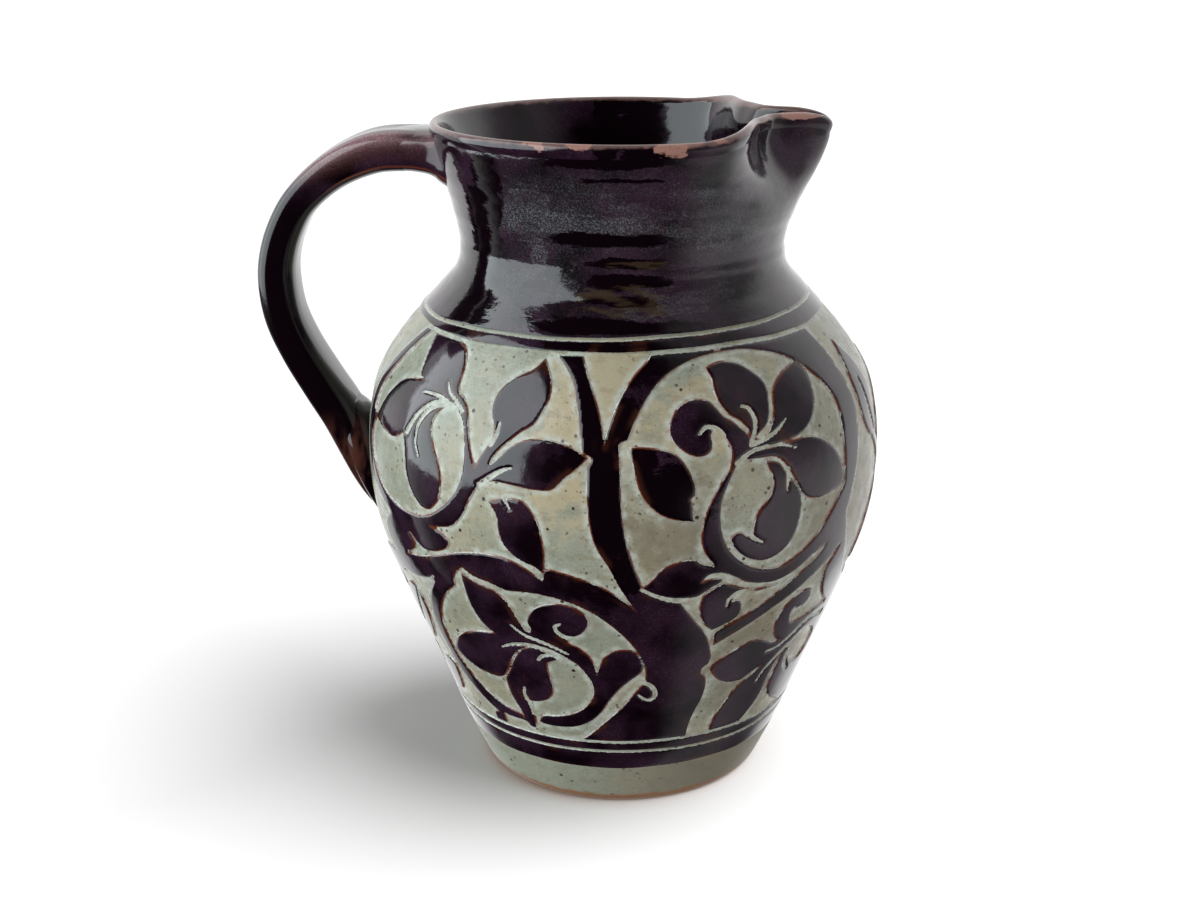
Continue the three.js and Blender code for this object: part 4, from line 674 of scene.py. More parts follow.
def drawn_shapes():
    """Every area of the whole belly in the order of the drawing, with its side, and every gouged line."""
    areas = []
    lines = []
    for mark, name, data in CARVING:
        sides = ["front"] if name.startswith("sprig") else ["front", "back"]
        for side in sides:
            for full_turn in (-DRAWING_ROUND, 0, DRAWING_ROUND):
                shift = [full_turn + (DRAWING_WIDTH if side == "back" else 0), 0]
                if mark == "line":
                    centre, half = tapered(*data)
                    lines.append((centre + shift, half))
                    continue
                outline = (stem_outline(*data) if mark == "stem" else closed_outline(data)) + shift
                before = outline[:, 0].max() <= DRAWING_START - DRAWING_MARGIN
                behind = outline[:, 0].min() >= DRAWING_START + DRAWING_ROUND + DRAWING_MARGIN
                if not before and not behind:
                    areas.append((mark, f"{side}_{name.replace(' ', '_')}", outline))
    return areas, lines


AREAS, LINES = drawn_shapes()
GROUND = -1
PIECES = ["front_vine", "back_vine", *dict.fromkeys(name for mark, name, _ in AREAS if mark == "island")]


def owners(points):
    """Which piece of slip each point of the belly belongs to, or the ground."""
    side = ((points[:, 0] - DRAWING_START) // DRAWING_WIDTH % 2).astype(int)
    owner = side.copy()
    for mark, name, outline in AREAS:
        inside = in_outline(points, outline)
        if mark == "cut":
            owner[inside] = GROUND
        elif mark == "island":
            owner[inside] = PIECES.index(name)
        else:
            owner[inside] = side[inside]
    return owner


def cut_edges():
    """The stretches of the outlines where slip meets ground, and the piece of slip beside each."""
    ends = np.vstack([np.hstack([outline, np.roll(outline, -1, axis=0)]) for _, _, outline in AREAS])
    ends = ends[np.hypot(ends[:, 2] - ends[:, 0], ends[:, 3] - ends[:, 1]) > SHORTEST_EDGE]
    middle = (ends[:, :2] + ends[:, 2:]) / 2
    side = side_of(ends[:, 2:] - ends[:, :2])
    left = owners(middle + side * BESIDE_EDGE)
    right = owners(middle - side * BESIDE_EDGE)
    parts = (left == GROUND) != (right == GROUND)
    return ends[parts], np.maximum(left, right)[parts]


# The relief of the belly


def belly_columns(step):
    """Places all round the belly on the drawing, a step of so many degrees apart."""
    return DRAWING_START + np.arange(round(360 / step)) * step * MM_PER_DEGREE


def turn_of(u):
    return u / MM_PER_DEGREE + FRONT_TURN


RELIEF_ROWS = slope_rows(RELIEF_LOW, RELIEF_HIGH, RELIEF_RISE)


def edge_distance(columns, rows):
    """For each crossing of the columns (mm round the belly) and rows (heights): the distance to the cut
    edge, the piece of slip nearest to it, and the place of the edge; then the same of the gouged lines."""
    wide = np.concatenate([columns - DRAWING_ROUND, columns, columns + DRAWING_ROUND])
    count = len(columns)
    shape = (len(rows), count)
    found = {
        "edge": (np.full(shape, EDGE_REACH), np.zeros((*shape, 2)), np.zeros(shape, int)),
        "line": (np.full(shape, -EDGE_REACH), np.zeros((*shape, 2)), np.zeros(shape)),
    }
    across = form_radius(rows) * math.radians(1) / MM_PER_DEGREE
    up = steepness(rows)

    def visit(start, end, kind, reach, own):
        """One straight stretch. Its own value is the slip beside an edge, or a line's two half widths."""
        best, place, extra = found[kind]
        margin = np.array([reach * WINDOW_WIDENING, reach])
        low = np.minimum(start, end) - margin
        high = np.maximum(start, end) + margin
        first, last = np.searchsorted(wide, [low[0], high[0]])
        bottom, top = np.searchsorted(rows, [low[1], high[1]])
        if last <= first or top <= bottom:
            return
        x = wide[first:last][None, :]
        z = rows[bottom:top][:, None]
        sx = across[bottom:top][:, None]
        sz = up[bottom:top][:, None]
        dx, dz = (end - start)[0] * sx, (end - start)[1] * sz
        t = ((x - start[0]) * sx * dx + (z - start[1]) * sz * dz) / (dx**2 + dz**2)
        t = np.clip(t, 0, 1)
        px, pz = start[0] + t * (end - start)[0], start[1] + t * (end - start)[1]
        away = np.hypot((x - px) * sx, (z - pz) * sz)
        index = np.ix_(np.arange(bottom, top), np.arange(first, last) % count)
        if kind == "edge":
            new = away
            better = new < best[index]
            more = np.full(away.shape, own)
        else:
            new = own[0] + t * (own[1] - own[0]) - away
            better = new > best[index]
            more = away
        best[index] = np.where(better, new, best[index])
        shifted = np.stack([px - x, pz - z], axis=-1)
        place[index] = np.where(better[..., None], shifted, place[index])
        extra[index] = np.where(better, more, extra[index])

    for (ax, az, bx, bz), owner in zip(*cut_edges()):
        visit(np.array([ax, az]), np.array([bx, bz]), "edge", EDGE_REACH, owner)
    for centre, half in LINES:
        for start, end, *halves in zip(centre, centre[1:], half, half[1:]):
            visit(start, end, "line", LINE_REACH, halves)
    return found


def relief():
    """The belly's grid drawn onto the cut edges and gouged lines: its places, its distance outside the
    slip, the piece of slip that each point is nearest to, and where a vein or a ring cuts the slip."""
    columns = belly_columns(RELIEF_STEP)
    found = edge_distance(columns, RELIEF_ROWS)
    distance, edge_place, edge_owner = found["edge"]
    depth_in_line, line_place, line_away = found["line"]
    u, z = np.meshgrid(columns, RELIEF_ROWS)
    owner = owners(np.stack([u.ravel(), z.ravel()], axis=1)).reshape(u.shape)
    signed = np.where(owner == GROUND, distance, -distance)
    owner = np.where(owner == GROUND, edge_owner, owner)

    onto_line = (line_away < SNAP * 1.5) & (depth_in_line > 0.1) & (signed < 0.4)
    onto_edge = (np.abs(signed) < SNAP) & ~onto_line
    moved = np.where(onto_line[..., None], line_place, np.where(onto_edge[..., None], edge_place, 0))
    signed = np.where(onto_edge, 0, signed)
    in_line = np.where(onto_line, depth_in_line + line_away, depth_in_line)
    vein = smooth_step((in_line - signed + VEIN_OVERLAP) / VEIN_BLEND)
    signed = np.maximum(signed, in_line)
    u = u + moved[..., 0]
    z = z + moved[..., 1]

    turn = turn_of(u)
    top = ring_height(LOW_SHOULDER, turn) - HALF_RING
    bottom = ring_height(HIGH_FOOT, turn) + HALF_RING
    for ring in (top, bottom):
        close = np.abs(z - ring) * steepness(z) < SNAP * 1.2
        z = np.where(close, ring, z)
    outside = np.maximum(z - top, bottom - z) * steepness(z)
    vein = np.maximum(vein, smooth_step((outside - signed + RING_OVERLAP) / VEIN_BLEND))
    return turn, z, np.maximum(signed, outside), owner, vein


def relief_depth(edge):
    """How deep the cut surface lies, from the distance outside the slip."""
    share = np.clip(edge / SKIRT_REACH, 0, 1.6)
    rounding = EDGE_ROUND * np.exp(np.minimum(edge, 0) / EDGE_ROUNDING)
    return rounding + (SKIRT_DEPTH - EDGE_ROUND) * share**SKIRT_CURVE


# Sheets and skins


def deselect():
    bpy.ops.object.select_all(action="DESELECT")


def set_mark(sheet, mark, values):
    """A mark for the materials. On slip and ground, edge is millimetres outside the slip, and vein is 1
    where the slip is cut by a gouged line or a ring. On the strap, edge says which way it faces."""
    attribute = sheet.data.attributes.new(mark, "FLOAT", "POINT")
    attribute.data.foreach_set("value", values.astype(np.float32).ravel())


def closed(grid):
    """The grid with its first column again after its last."""
    return np.concatenate([grid, grid[:, :1]], axis=1)


def ring_sheet(name, rings, edges=None):
    """A closed skin through rings of points: a flat grid shaped over them, joined where its edges meet."""
    points = closed(rings)
    rows, columns = points.shape[:2]
    bpy.ops.mesh.primitive_grid_add(x_subdivisions=columns - 1, y_subdivisions=rows - 1, size=2)
    sheet = bpy.context.object
    sheet.name = sheet.data.name = name
    sheet.data.vertices.foreach_set("co", (points * MM).astype(np.float32).ravel())
    if edges is not None:
        set_mark(sheet, "edge", closed(edges))
        set_mark(sheet, "vein", np.ones(points.shape[:2]))
    bpy.ops.object.mode_set(mode="EDIT")
    bpy.ops.mesh.select_all(action="SELECT")
    bpy.ops.mesh.remove_doubles(threshold=1e-6)
    bpy.ops.mesh.normals_make_consistent(inside=False)
    bpy.ops.object.mode_set(mode="OBJECT")
    bpy.ops.object.shade_smooth()
    deselect()
    return sheet


def cut_sheet(name, points, marks, faces):
    """The part of the sheet whose faces are kept, with its underside."""
    rows, columns = np.nonzero(faces)
    width = points.shape[1]
    corner = rows * width + columns
    quads = np.stack([corner, corner + 1, corner + width + 1, corner + width], axis=1)
    seam = np.arange(points.shape[0] * width)
    seam = np.where(seam % width == width - 1, seam - (width - 1), seam)
    used, local = np.unique(seam[quads], return_inverse=True)
    mesh = bpy.data.meshes.new(name)
    mesh.from_pydata(points.reshape(-1, 3)[used] * MM, [], local.reshape(-1, 4))
    sheet = bpy.data.objects.new(name, mesh)
    bpy.context.collection.objects.link(sheet)
    for mark, values in marks.items():
        set_mark(sheet, mark, values.ravel()[used])
    deselect()
    sheet.select_set(True)
    bpy.context.view_layer.objects.active = sheet
    thickness = sheet.modifiers.new("underside", "SOLIDIFY")
    thickness.thickness = UNDERSIDE * MM
    thickness.offset = -1
    bpy.ops.object.modifier_apply(modifier=thickness.name)
    bpy.ops.object.shade_smooth()
    deselect()
    return sheet


class TurnedSkin:
    """A skin of the thrown body in the making, ring by ring, each ring with its mark edge."""

    def __init__(self, step):
        self.turn = np.arange(0, 360, step)
        self.rings = []
        self.edges = []

    def ring(self, z, depth, edge=0.0):
        heights = z + np.zeros(len(self.turn))
        self.rings.append(wall_points(self.turn, heights, depth))
        self.edges.append(np.full(len(self.turn), edge))

    def slip_ring(self, z, edge, depth=None):
        """A ring of slip at its distance outside the cut edge, which sets its depth if none is given."""
        depth = relief_depth(np.array(edge)) if depth is None else depth
        self.ring(z, depth * steepness(z), edge)

    def close(self, name):
        rings = [*self.rings, self.rings[0]]
        edges = [*self.edges, self.edges[0]]
        return ring_sheet(name, np.array(rings), np.array(edges))


def finish_piece(piece, material, node):
    piece.data.materials.clear()
    piece.data.materials.append(material)
    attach(piece, "root")
    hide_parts(node)


# The thrown body and its slip


def uneven(u, z, size, seed):
    """Soft random hollows and swellings of about the given size, between about -1 and 1."""
    draw = np.random.default_rng(seed)
    total = 0
    for _ in range(7):
        across = round(draw.normal() * DRAWING_ROUND / size / 2)
        angle = across * 2 * np.pi * u / DRAWING_ROUND
        total = total + np.sin(angle + draw.normal() * 2 * np.pi / size * z + draw.uniform(0, 7))
    return total / 4


def ground_edge(relief_edge, columns, rows):
    """The distance to the nearest slip at each point of the ground's own, coarser grid."""
    start = np.round(((columns - DRAWING_START) / MM_PER_DEGREE) / RELIEF_STEP, 3)
    low = np.floor(start).astype(int)
    share = start - low
    count = relief_edge.shape[1]
    across = relief_edge[:, low % count] * (1 - share) + relief_edge[:, (low + 1) % count] * share
    return np.stack([np.interp(rows, RELIEF_ROWS, column) for column in across.T], axis=1)


def ground_sheet(relief_edge):
    """The carved ground: the outer clay between the foot and the shoulder, with the cutter's marks."""
    columns = belly_columns(GROUND_STEP)
    rows = slope_rows(GROUND_LOW, GROUND_HIGH, GROUND_RISE)
    u, z = np.meshgrid(columns, rows)
    turn = turn_of(u)
    edge = ground_edge(relief_edge, columns, rows)
    mark, pitch, fade = CUTTER_MARKS
    marks = mark * np.cos(edge * pitch) * np.exp(-edge / fade) * (0.6 + 0.4 * uneven(u, z, *CUTTER_LUMPS))
    rough = sum(depth * uneven(u, z, size, seed) for depth, size, seed in GROUND_LUMPS)
    depth = GROUND_DEPTH + np.clip(marks + rough, *GROUND_LIMITS)
    outer = wall_points(turn, z, depth * steepness(z))
    around_back = turn[0]
    inner = [
        wall_points(around_back, np.full(len(columns), height), GROUND_BACK * steepness(height))
        for height in np.linspace(rows[-1], rows[0], BACK_RINGS)
    ]
    rings = np.concatenate([outer, np.array(inner), outer[:1]])
    edges = np.concatenate([edge, np.full((len(inner), len(columns)), EDGE_REACH), edge[:1]])
    return ring_sheet("carved_ground", rings, edges)


def slip_pieces(relief_grid):
    """The slip left standing on the belly: a sheet per side, its ground cut out and its islands parted."""
    turn, z, edge, owner, vein = relief_grid
    points = closed(wall_points(turn, z, relief_depth(edge) * steepness(z)))
    edge, owner, vein = closed(edge), closed(owner), closed(vein)
    corners = [np.s_[:-1, :-1], np.s_[:-1, 1:], np.s_[1:, 1:], np.s_[1:, :-1]]
    corner_edges = np.stack([edge[corner] for corner in corners])
    corner_owners = np.stack([owner[corner] for corner in corners])
    kept = corner_edges.min(axis=0) < SKIRT_REACH
    face_owner = np.take_along_axis(corner_owners, corner_edges.argmin(axis=0)[None], axis=0)[0]
    marks = {"edge": edge, "vein": vein}
    pieces = {}
    for index, name in enumerate(PIECES):
        pieces[name] = cut_sheet(name, points, marks, kept & (face_owner == index))
    return pieces


def band_sheet(name, low, high):
    """A band of slip between two uneven heights: sunk along both edges, with a plain underside."""
    skin = TurnedSkin(BAND_STEP)
    bottom, top = low(skin.turn), high(skin.turn)
    middle = slope_rows(float(bottom.mean()), float(top.mean()), BAND_RISE)
    shares = (middle - middle[0]) / (middle[-1] - middle[0])
    steep_low, steep_high = steepness(bottom.mean()), steepness(top.mean())
    height = top - bottom
    for out in (SKIRT_REACH, SKIRT_REACH / 2, 0.0):
        skin.slip_ring(bottom - out / steep_low, out)
    for inside in INSIDE_RINGS:
        if inside * 2 / steep_low < height.min():
            skin.slip_ring(bottom + inside / steep_low, -inside)
    for share in shares[1:-1]:
        inside = min(share * height.mean() * steep_low, (1 - share) * height.mean() * steep_high)
        if inside > 1.5:
            skin.slip_ring(bottom + share * height, -inside)
    for inside in reversed(INSIDE_RINGS):
        if inside * 2 / steep_high < height.min():
            skin.slip_ring(top - inside / steep_high, -inside)
    for out in (0.0, SKIRT_REACH / 2, SKIRT_REACH):
        skin.slip_ring(top + out / steep_high, out)
    for share in np.linspace(1, 0, max(2, len(shares) // 6)):
        whole = height + SKIRT_REACH / steep_low + SKIRT_REACH / steep_high
        skin.slip_ring(bottom - SKIRT_REACH / steep_low + share * whole, -1.0, SKIRT_DEPTH + UNDERSIDE)
    return skin.close(name)


def neck_sheet():
    """The slip of the neck, from the upper ring to just under the rim, where it thins out."""
    skin = TurnedSkin(TURN_STEP)
    steep = steepness(HIGH_SHOULDER_RING)
    bottom = ring_height(HIGH_SHOULDER, skin.turn) + HALF_RING / steep
    for out in (SKIRT_REACH, SKIRT_REACH / 2, 0.0, *(-inside for inside in INSIDE_RINGS)):
        skin.slip_ring(bottom - out / steep, out)
    for share in np.linspace(0.03, 1, 62):
        z = bottom + share * (COAT_TOP - bottom)
        skin.slip_ring(z, -2.0, COAT_TOP_DEPTH * smooth_step((z - COAT_TOP + COAT_THINNING) / COAT_THINNING))
    for share in np.linspace(1, 0, 12):
        forward = COAT_BACK_RISE * smooth_step((share - COAT_BACK_FROM) / 0.2)
        z = bottom - SKIRT_REACH / steep + share * (COAT_TOP - bottom)
        skin.slip_ring(z, -1.0, SKIRT_DEPTH + UNDERSIDE - forward)
    return skin.close("neck_slip")


def wall_sheet():
    """The rest of the thrown body: base, foot, the hidden wall behind the carving, crest and inside."""
    skin = TurnedSkin(TURN_STEP)
    heights, depths = np.array(INSIDE_DEPTHS).T
    for z, depth in FOOT_PROFILE:
        skin.ring(z, depth)
    for z in FOOT_ROWS:
        skin.ring(z, 0)
    for z, depth in BEHIND_SLIP:
        skin.ring(z, depth)
    for z in HIDDEN_ROWS:
        skin.ring(z, WALL_BACK * steepness(z))
    for up, depth in CREST_PROFILE:
        skin.ring(RIM_HEIGHT + up, depth)
    for z in INSIDE_ROWS:
        skin.ring(z, np.interp(z, heights, depths) * (steepness(z) if z < LEVEL_DEPTHS_ABOVE else 1))
    for share in np.linspace(0.12, 1, 8):
        angle = share * math.pi / 2
        down = FLOOR + FLOOR_CORNER * (1 - math.sin(angle))
        skin.ring(down, depths[0] * steepness(down) + FLOOR_CORNER * (1 - math.cos(angle)))
    skin.ring(FLOOR, depths[0] + FLOOR_CORNER + FLOOR_RING)
    centre = np.zeros((len(skin.turn), 3))
    rings = [centre + [0, 0, FOOT_HOLLOW], *skin.rings, centre + [0, 0, FLOOR]]
    return ring_sheet("jug_wall", np.array(rings))


# The strap


def strap_sheet(name, stations, steps, groove):
    """A pulled strap: rounded sections square to its centre line, closed at both ends. Its mark edge is 1
    along the middle of the outer face, 0 along the sides and -1 underneath."""
    fine = np.array(curve_through(stations, steps))
    direction = np.gradient(fine[:, :2], axis=0)
    direction /= np.linalg.norm(direction, axis=1)[:, None]
    out = np.stack([direction[:, 1], np.zeros(len(fine)), -direction[:, 0]], axis=1)
    turn = np.linspace(0, 2 * np.pi, STRAP_SIDES, endpoint=False)
    rings = []
    for (x, z, half_thick, half_width), outward in zip(fine, out):
        across = np.sign(np.sin(turn)) * np.abs(np.sin(turn)) ** STRAP_ROUNDING * half_width
        dip = groove * np.exp(-((across / (half_width * GROOVE_SHARE)) ** 2)) * smooth_step(np.cos(turn) * 3)
        depth = np.sign(np.cos(turn)) * np.abs(np.cos(turn)) ** STRAP_ROUNDING * half_thick - dip
        rings.append(np.array([x, 0, z]) + depth[:, None] * outward + across[:, None] * [0, 1, 0])
    start, end = (np.repeat(ring.mean(axis=0)[None], STRAP_SIDES, axis=0) for ring in (rings[0], rings[-1]))
    facing = np.tile(np.cos(turn), (len(rings) + 2, 1))
    return ring_sheet(name, keep_out(np.array([start, *rings, end])), facing)


def keep_out(points):
    """What would lie deep in the wall stays just under its outer face."""
    distance = np.hypot(points[..., 0], points[..., 1])
    least = form_radius(points[..., 2]) - JOIN_SINK
    grow = np.maximum(least / distance, 1)
    return points * np.stack([grow, grow, np.ones_like(grow)], axis=-1)


# Materials


class Value:
    """A socket whose sums are written as expressions, each adding its Math node."""

    def __init__(self, paint, socket):
        self.paint = paint
        self.socket = socket

    def math(self, operation, *others, flip=False):
        values = [self, *others]
        if flip:
            values.reverse()
        return self.paint.node("ShaderNodeMath", {"operation": operation}, dict(enumerate(values)))

    def __add__(self, other):
        return self.math("ADD", other)

    def __sub__(self, other):
        return self.math("SUBTRACT", other)

    def __rsub__(self, other):
        return self.math("SUBTRACT", other, flip=True)

    def __mul__(self, other):
        return self.math("MULTIPLY", other)

    def __truediv__(self, other):
        return self.math("DIVIDE", other)

    __radd__ = __add__
    __rmul__ = __mul__

    def step(self, low, high):
        """0 below low and 1 above high, or the other way round, with a smooth change between."""
        if low > high:
            return 1 - self.step(high, low)
        sockets = {"Value": self, "From Min": low, "From Max": high}
        return self.paint.node("ShaderNodeMapRange", {"interpolation_type": "SMOOTHSTEP"}, sockets)


class Nodes:
    """A node tree that is added to by calls and expressions."""

    def __init__(self, tree):
        self.tree = tree

    def node(self, kind, settings, sockets, output=0):
        node = self.tree.nodes.new(kind)
        for key, value in settings.items():
            setattr(node, key, value)
        for key, value in sockets.items():
            if isinstance(value, Value):
                self.tree.links.new(value.socket, node.inputs[key])
            else:
                node.inputs[key].default_value = value
        return Value(self, node.outputs[output])


class Paint(Nodes):
    """A material under construction."""

    def __init__(self, name):
        self.material = bpy.data.materials.new(name)
        self.material.use_nodes = True
        super().__init__(self.material.node_tree)
        self.tree.nodes.clear()
        self.place = self.node("ShaderNodeTexCoord", {}, {}, "Object")

    def attribute(self, name):
        return self.node("ShaderNodeAttribute", {"attribute_name": name}, {}, "Fac")

    def along(self, axis):
        """Millimetres along an axis of the jug."""
        return self.node("ShaderNodeSeparateXYZ", {}, {0: self.place}, axis) * METRE

    def height(self):
        return self.along("Z")

    def scaled(self, scale, shift):
        sockets = {"Vector": self.place, "Scale": scale, "Location": [shift] * 3}
        return self.node("ShaderNodeMapping", {}, sockets)

    def noise(self, size, detail=2.0, stretch=(1, 1, 1), shift=0.0, roughness=0.5):
        """Noise whose lumps are about the given number of millimetres."""
        place = self.scaled([share * METRE / size for share in stretch], shift)
        sockets = {"Vector": place, "Scale": 1.0, "Detail": detail, "Roughness": roughness}
        return self.node("ShaderNodeTexNoise", {}, sockets, "Fac")

    def wander(self, far, *noise, **more):
        """Noise to move a boundary by, up to half of the given distance to either side."""
        return (self.noise(*noise, **more) - 0.5) * far

    def specks(self, spacing, shift=0.0):
        """Distance to the nearest of many scattered points, in their spacings."""
        place = self.scaled([METRE / spacing] * 3, shift)
        return self.node("ShaderNodeTexVoronoi", {}, {"Vector": place, "Scale": 1.0}, "Distance")

    def mix(self, share, first, second):
        sockets = {"Factor": share, 6: colour_of(first), 7: colour_of(second)}
        return self.node("ShaderNodeMix", {"data_type": "RGBA"}, sockets, 2)

    def plain(self, colour, roughness):
        """The finished material of a surface with no glaze, joined to its shader."""
        self.shader = self.tree.nodes.new("ShaderNodeBsdfPrincipled")
        output = self.tree.nodes.new("ShaderNodeOutputMaterial")
        self.tree.links.new(colour.socket, self.shader.inputs["Base Color"])
        if isinstance(roughness, Value):
            self.tree.links.new(roughness.socket, self.shader.inputs["Roughness"])
        else:
            self.shader.inputs["Roughness"].default_value = roughness
        self.tree.links.new(self.shader.outputs[0], output.inputs[0])
        return self.material

    def glazed(self, colour, roughness, relief, bump, depth, ior=GLAZE_IOR):
        """The finished material of a glazed surface, its relief as deep as the given millimetres."""
        material = self.plain(colour, roughness)
        sockets = {"Strength": bump, "Distance": depth * MM, "Height": relief}
        bumped = self.node("ShaderNodeBump", {}, sockets)
        self.tree.links.new(bumped.socket, self.shader.inputs["Normal"])
        self.shader.inputs["IOR"].default_value = ior
        return material


def colour_of(value):
    return value if isinstance(value, Value) else (*value, 1)


def patches(paint, places, ragged, soft=0.2):
    """1 where any of the given patches lies, with edges about so many millimetres ragged and so soft."""
    across = paint.along("X") + paint.wander(ragged * 4, 7, 3, shift=31.0)
    height = paint.height() + paint.wander(ragged * 1.5, 4, 5, stretch=(0.3, 0.3, 1.8), shift=27.0)
    fine = paint.wander(1.6, 0.9, 3, stretch=(0.5, 0.5, 1.2), shift=41.0, roughness=0.7)
    covered = None
    for x, z, half_length, half_height in places:
        right = (across - x) / half_length
        up = (height - z) / half_height
        patch = (right * right + up * up + fine).step(1 + soft, 1 - soft)
        covered = covered.math("MAXIMUM", patch) if covered else patch
    return covered


def speckled(paint, base):
    """Iron specks: many small faint ones and a few large dark ones."""
    small = paint.specks(1.7).step(0.24, 0.12) * paint.noise(11, 1, shift=3.0).step(0.44, 0.56)
    middle = paint.specks(3.6, 2.0).step(0.19, 0.12) * paint.noise(9, 1, shift=6.0).step(0.46, 0.54)
    large = paint.specks(6.5, 5.0).step(0.13, 0.08) * paint.noise(16, 1, shift=9.0).step(0.45, 0.5)
    return paint.mix(small * 0.45 + middle * 0.7 + large, base, IRON)


def pale_clay(paint):
    """Mottled grey-green and buff glaze over pale clay, with a fine white bloom."""
    base = paint.mix(paint.noise(34, 3).step(0.4, 0.66), GROUND_GREEN, GROUND_BUFF)
    cloudy = paint.noise(6, 5, shift=7.0, roughness=0.7).step(0.44, 0.7)
    base = paint.mix(cloudy * 0.6, base, GROUND_GREY)
    grain = paint.noise(0.8, 5, roughness=0.85).step(0.44, 0.72)
    return paint.mix(grain * 0.34, base, FROST)


def ground_material():
    """The carved ground: frosted beside the cuts, and stained warm under the shoulder."""
    paint = Paint("carved_ground")
    edge = paint.attribute("edge") + paint.wander(1.6, 1.5, 3, shift=2.0)
    broken = paint.noise(3.4, 4, shift=5.0).step(0.3, 0.62)
    base = paint.mix(patches(paint, WARM_GROUND, 12, 0.7) * 0.6, pale_clay(paint), WARM_BUFF)
    base = paint.mix(edge.step(3.0, 0.4) * broken * 0.85, base, FROST)
    stroke = paint.noise(5, 3, stretch=(1, 1, 2.5), shift=15.0).step(0.56, 0.64) * 0.3
    base = paint.mix(stroke, base, STROKE_BROWN)
    base = paint.mix(patches(paint, STAINED_GROUND, 14, 0.8) * 0.55, base, STAIN_BROWN)
    relief = paint.noise(2.2, 3) * 0.5 + paint.noise(6, 2) + paint.noise(0.7, 2) * 0.2
    rough = paint.noise(5, 3).step(0.3, 0.7) * 0.14 + 0.22
    return paint.glazed(speckled(paint, base), rough, relief, 0.6, 0.3, GROUND_IOR)


def slip_colour(paint, blackening):
    """Dark plum slip with a fine grain, redder in clouds, and black by the given share, which the callers use
    for thicker slip, for painted shade and for painted dark reflections.
    """
    plum = paint.noise(16, 3).step(0.3, 0.7) * (1 - blackening)
    base = paint.mix(plum, BLACK_PLUM, PLUM)
    red = paint.noise(5, 3, stretch=(1, 1, 0.35), shift=4.0).step(0.62, 0.8) * 0.4
    base = paint.mix(red * (1 - blackening * 0.7), base, DARK_RED)
    grain = paint.noise(0.6, 3, roughness=0.7).step(0.5, 0.72)
    return paint.mix(grain * plum * 0.06, base, HAZE)


def cut_slip_material():
    """The slip of the belly: dark on top, with a rusty line and then pale clay down its cut sides."""
    paint = Paint("carved_slip")
    edge = paint.attribute("edge")
    uncut = 1 - paint.attribute("vein")
    side = edge + paint.wander(0.8, 1.2, 4, shift=2.0, roughness=0.7)
    # Blacker patches: partly thicker slip, partly a painted dark reflection
    base = slip_colour(paint, patches(paint, THICK_SLIP_AND_PAINTED_DARK, 9))
    brown = paint.noise(13, 2, shift=18.0).step(0.55, 0.66) * edge.step(-2.6, -0.4)
    base = paint.mix(brown * 0.6, base, THIN_BROWN)
    pale = paint.mix(paint.noise(2, 3).step(0.35, 0.65), PALE_CUT, FROST)
    base = paint.mix(side.step(-0.02, 0.1), base, pale)
    rusty = paint.noise(7, 2, shift=6.0).step(0.4, 0.56) * uncut
    line = side.step(-0.3, -0.08) * side.step(0.42, 0.2)
    base = paint.mix(line * rusty, base, RUST)
    pink_line = side.step(0.16, 0.3) * side.step(0.8, 0.55) * paint.noise(5, 2, shift=8.0).step(0.32, 0.5)
    base = paint.mix(pink_line * uncut * 0.85, base, PINK)
    rough = edge.step(0.0, 0.5) * 0.2 + paint.noise(6, 3).step(0.3, 0.8) * 0.07 + 0.07
    relief = paint.noise(3.5, 3) * 0.5 + paint.noise(12, 2) * 1.4
    return paint.glazed(base, rough, relief, 0.35, 0.22)


def worn_rim(paint):
    """Flakes off the rim, on the front."""
    front = paint.along("Y").step(*FLAKES_FRONT)
    ragged = paint.noise(1.3, 4, shift=37.0, roughness=0.8).step(0.28, 0.42)
    return patches(paint, WORN_PATCHES, 3.4) * front * ragged * paint.height().step(*FLAKES)


def neck_slip_material():
    """The slip of the neck: glossy dark plum under a drifting silvery haze, with black patches bare of haze
    that are painted dark reflections.
    """
    paint = Paint("neck_slip")
    edge = paint.attribute("edge") + paint.wander(0.4, 1.6, 3)
    across = paint.along("X")
    # Painted dark reflections: black slip without haze in these patches
    black = patches(paint, PAINTED_DARK_REFLECTIONS, 3)
    base = slip_colour(paint, black)
    streaky = paint.noise(3, 4, stretch=(0.4, 0.4, 2), shift=33.0).step(0.42, 0.6)
    base = paint.mix(patches(paint, KHAKI_PATCHES, 3) * streaky * 0.8, base, KHAKI)
    slant = paint.height() + across * HAZE_SLANT
    band = slant.step(*HAZE_FADES_IN) * slant.step(*HAZE_FADES_OUT)
    cloud = paint.noise(17, 4, stretch=(0.8, 0.8, 1.5), shift=1.0, roughness=0.6).step(0.3, 0.7)
    bright = patches(paint, BRIGHT_PATCHES, 16) * 0.75
    cover = band * cloud * 0.62 + bright * (cloud * 0.6 + 0.4) + 0.14
    cover = cover * (1 - black) * across.step(*HAZE_ACROSS)
    grain = paint.noise(0.55, 3, roughness=0.75).step(0.43, 0.68)
    haze = cover * (grain * 0.9 + 0.1)
    base = paint.mix(haze * 0.22, base, HAZE)
    base = paint.mix(edge.step(-0.05, 0.2), base, FROST)
    base = paint.mix(worn_rim(paint) * 0.9, base, PINK)
    relief = paint.noise(9, 3, stretch=(1, 1, 2.6)) * 1.3 + paint.noise(1.2, 2) * 0.12
    return paint.glazed(base, haze * 0.3 + 0.07, relief, 0.45, 0.28)


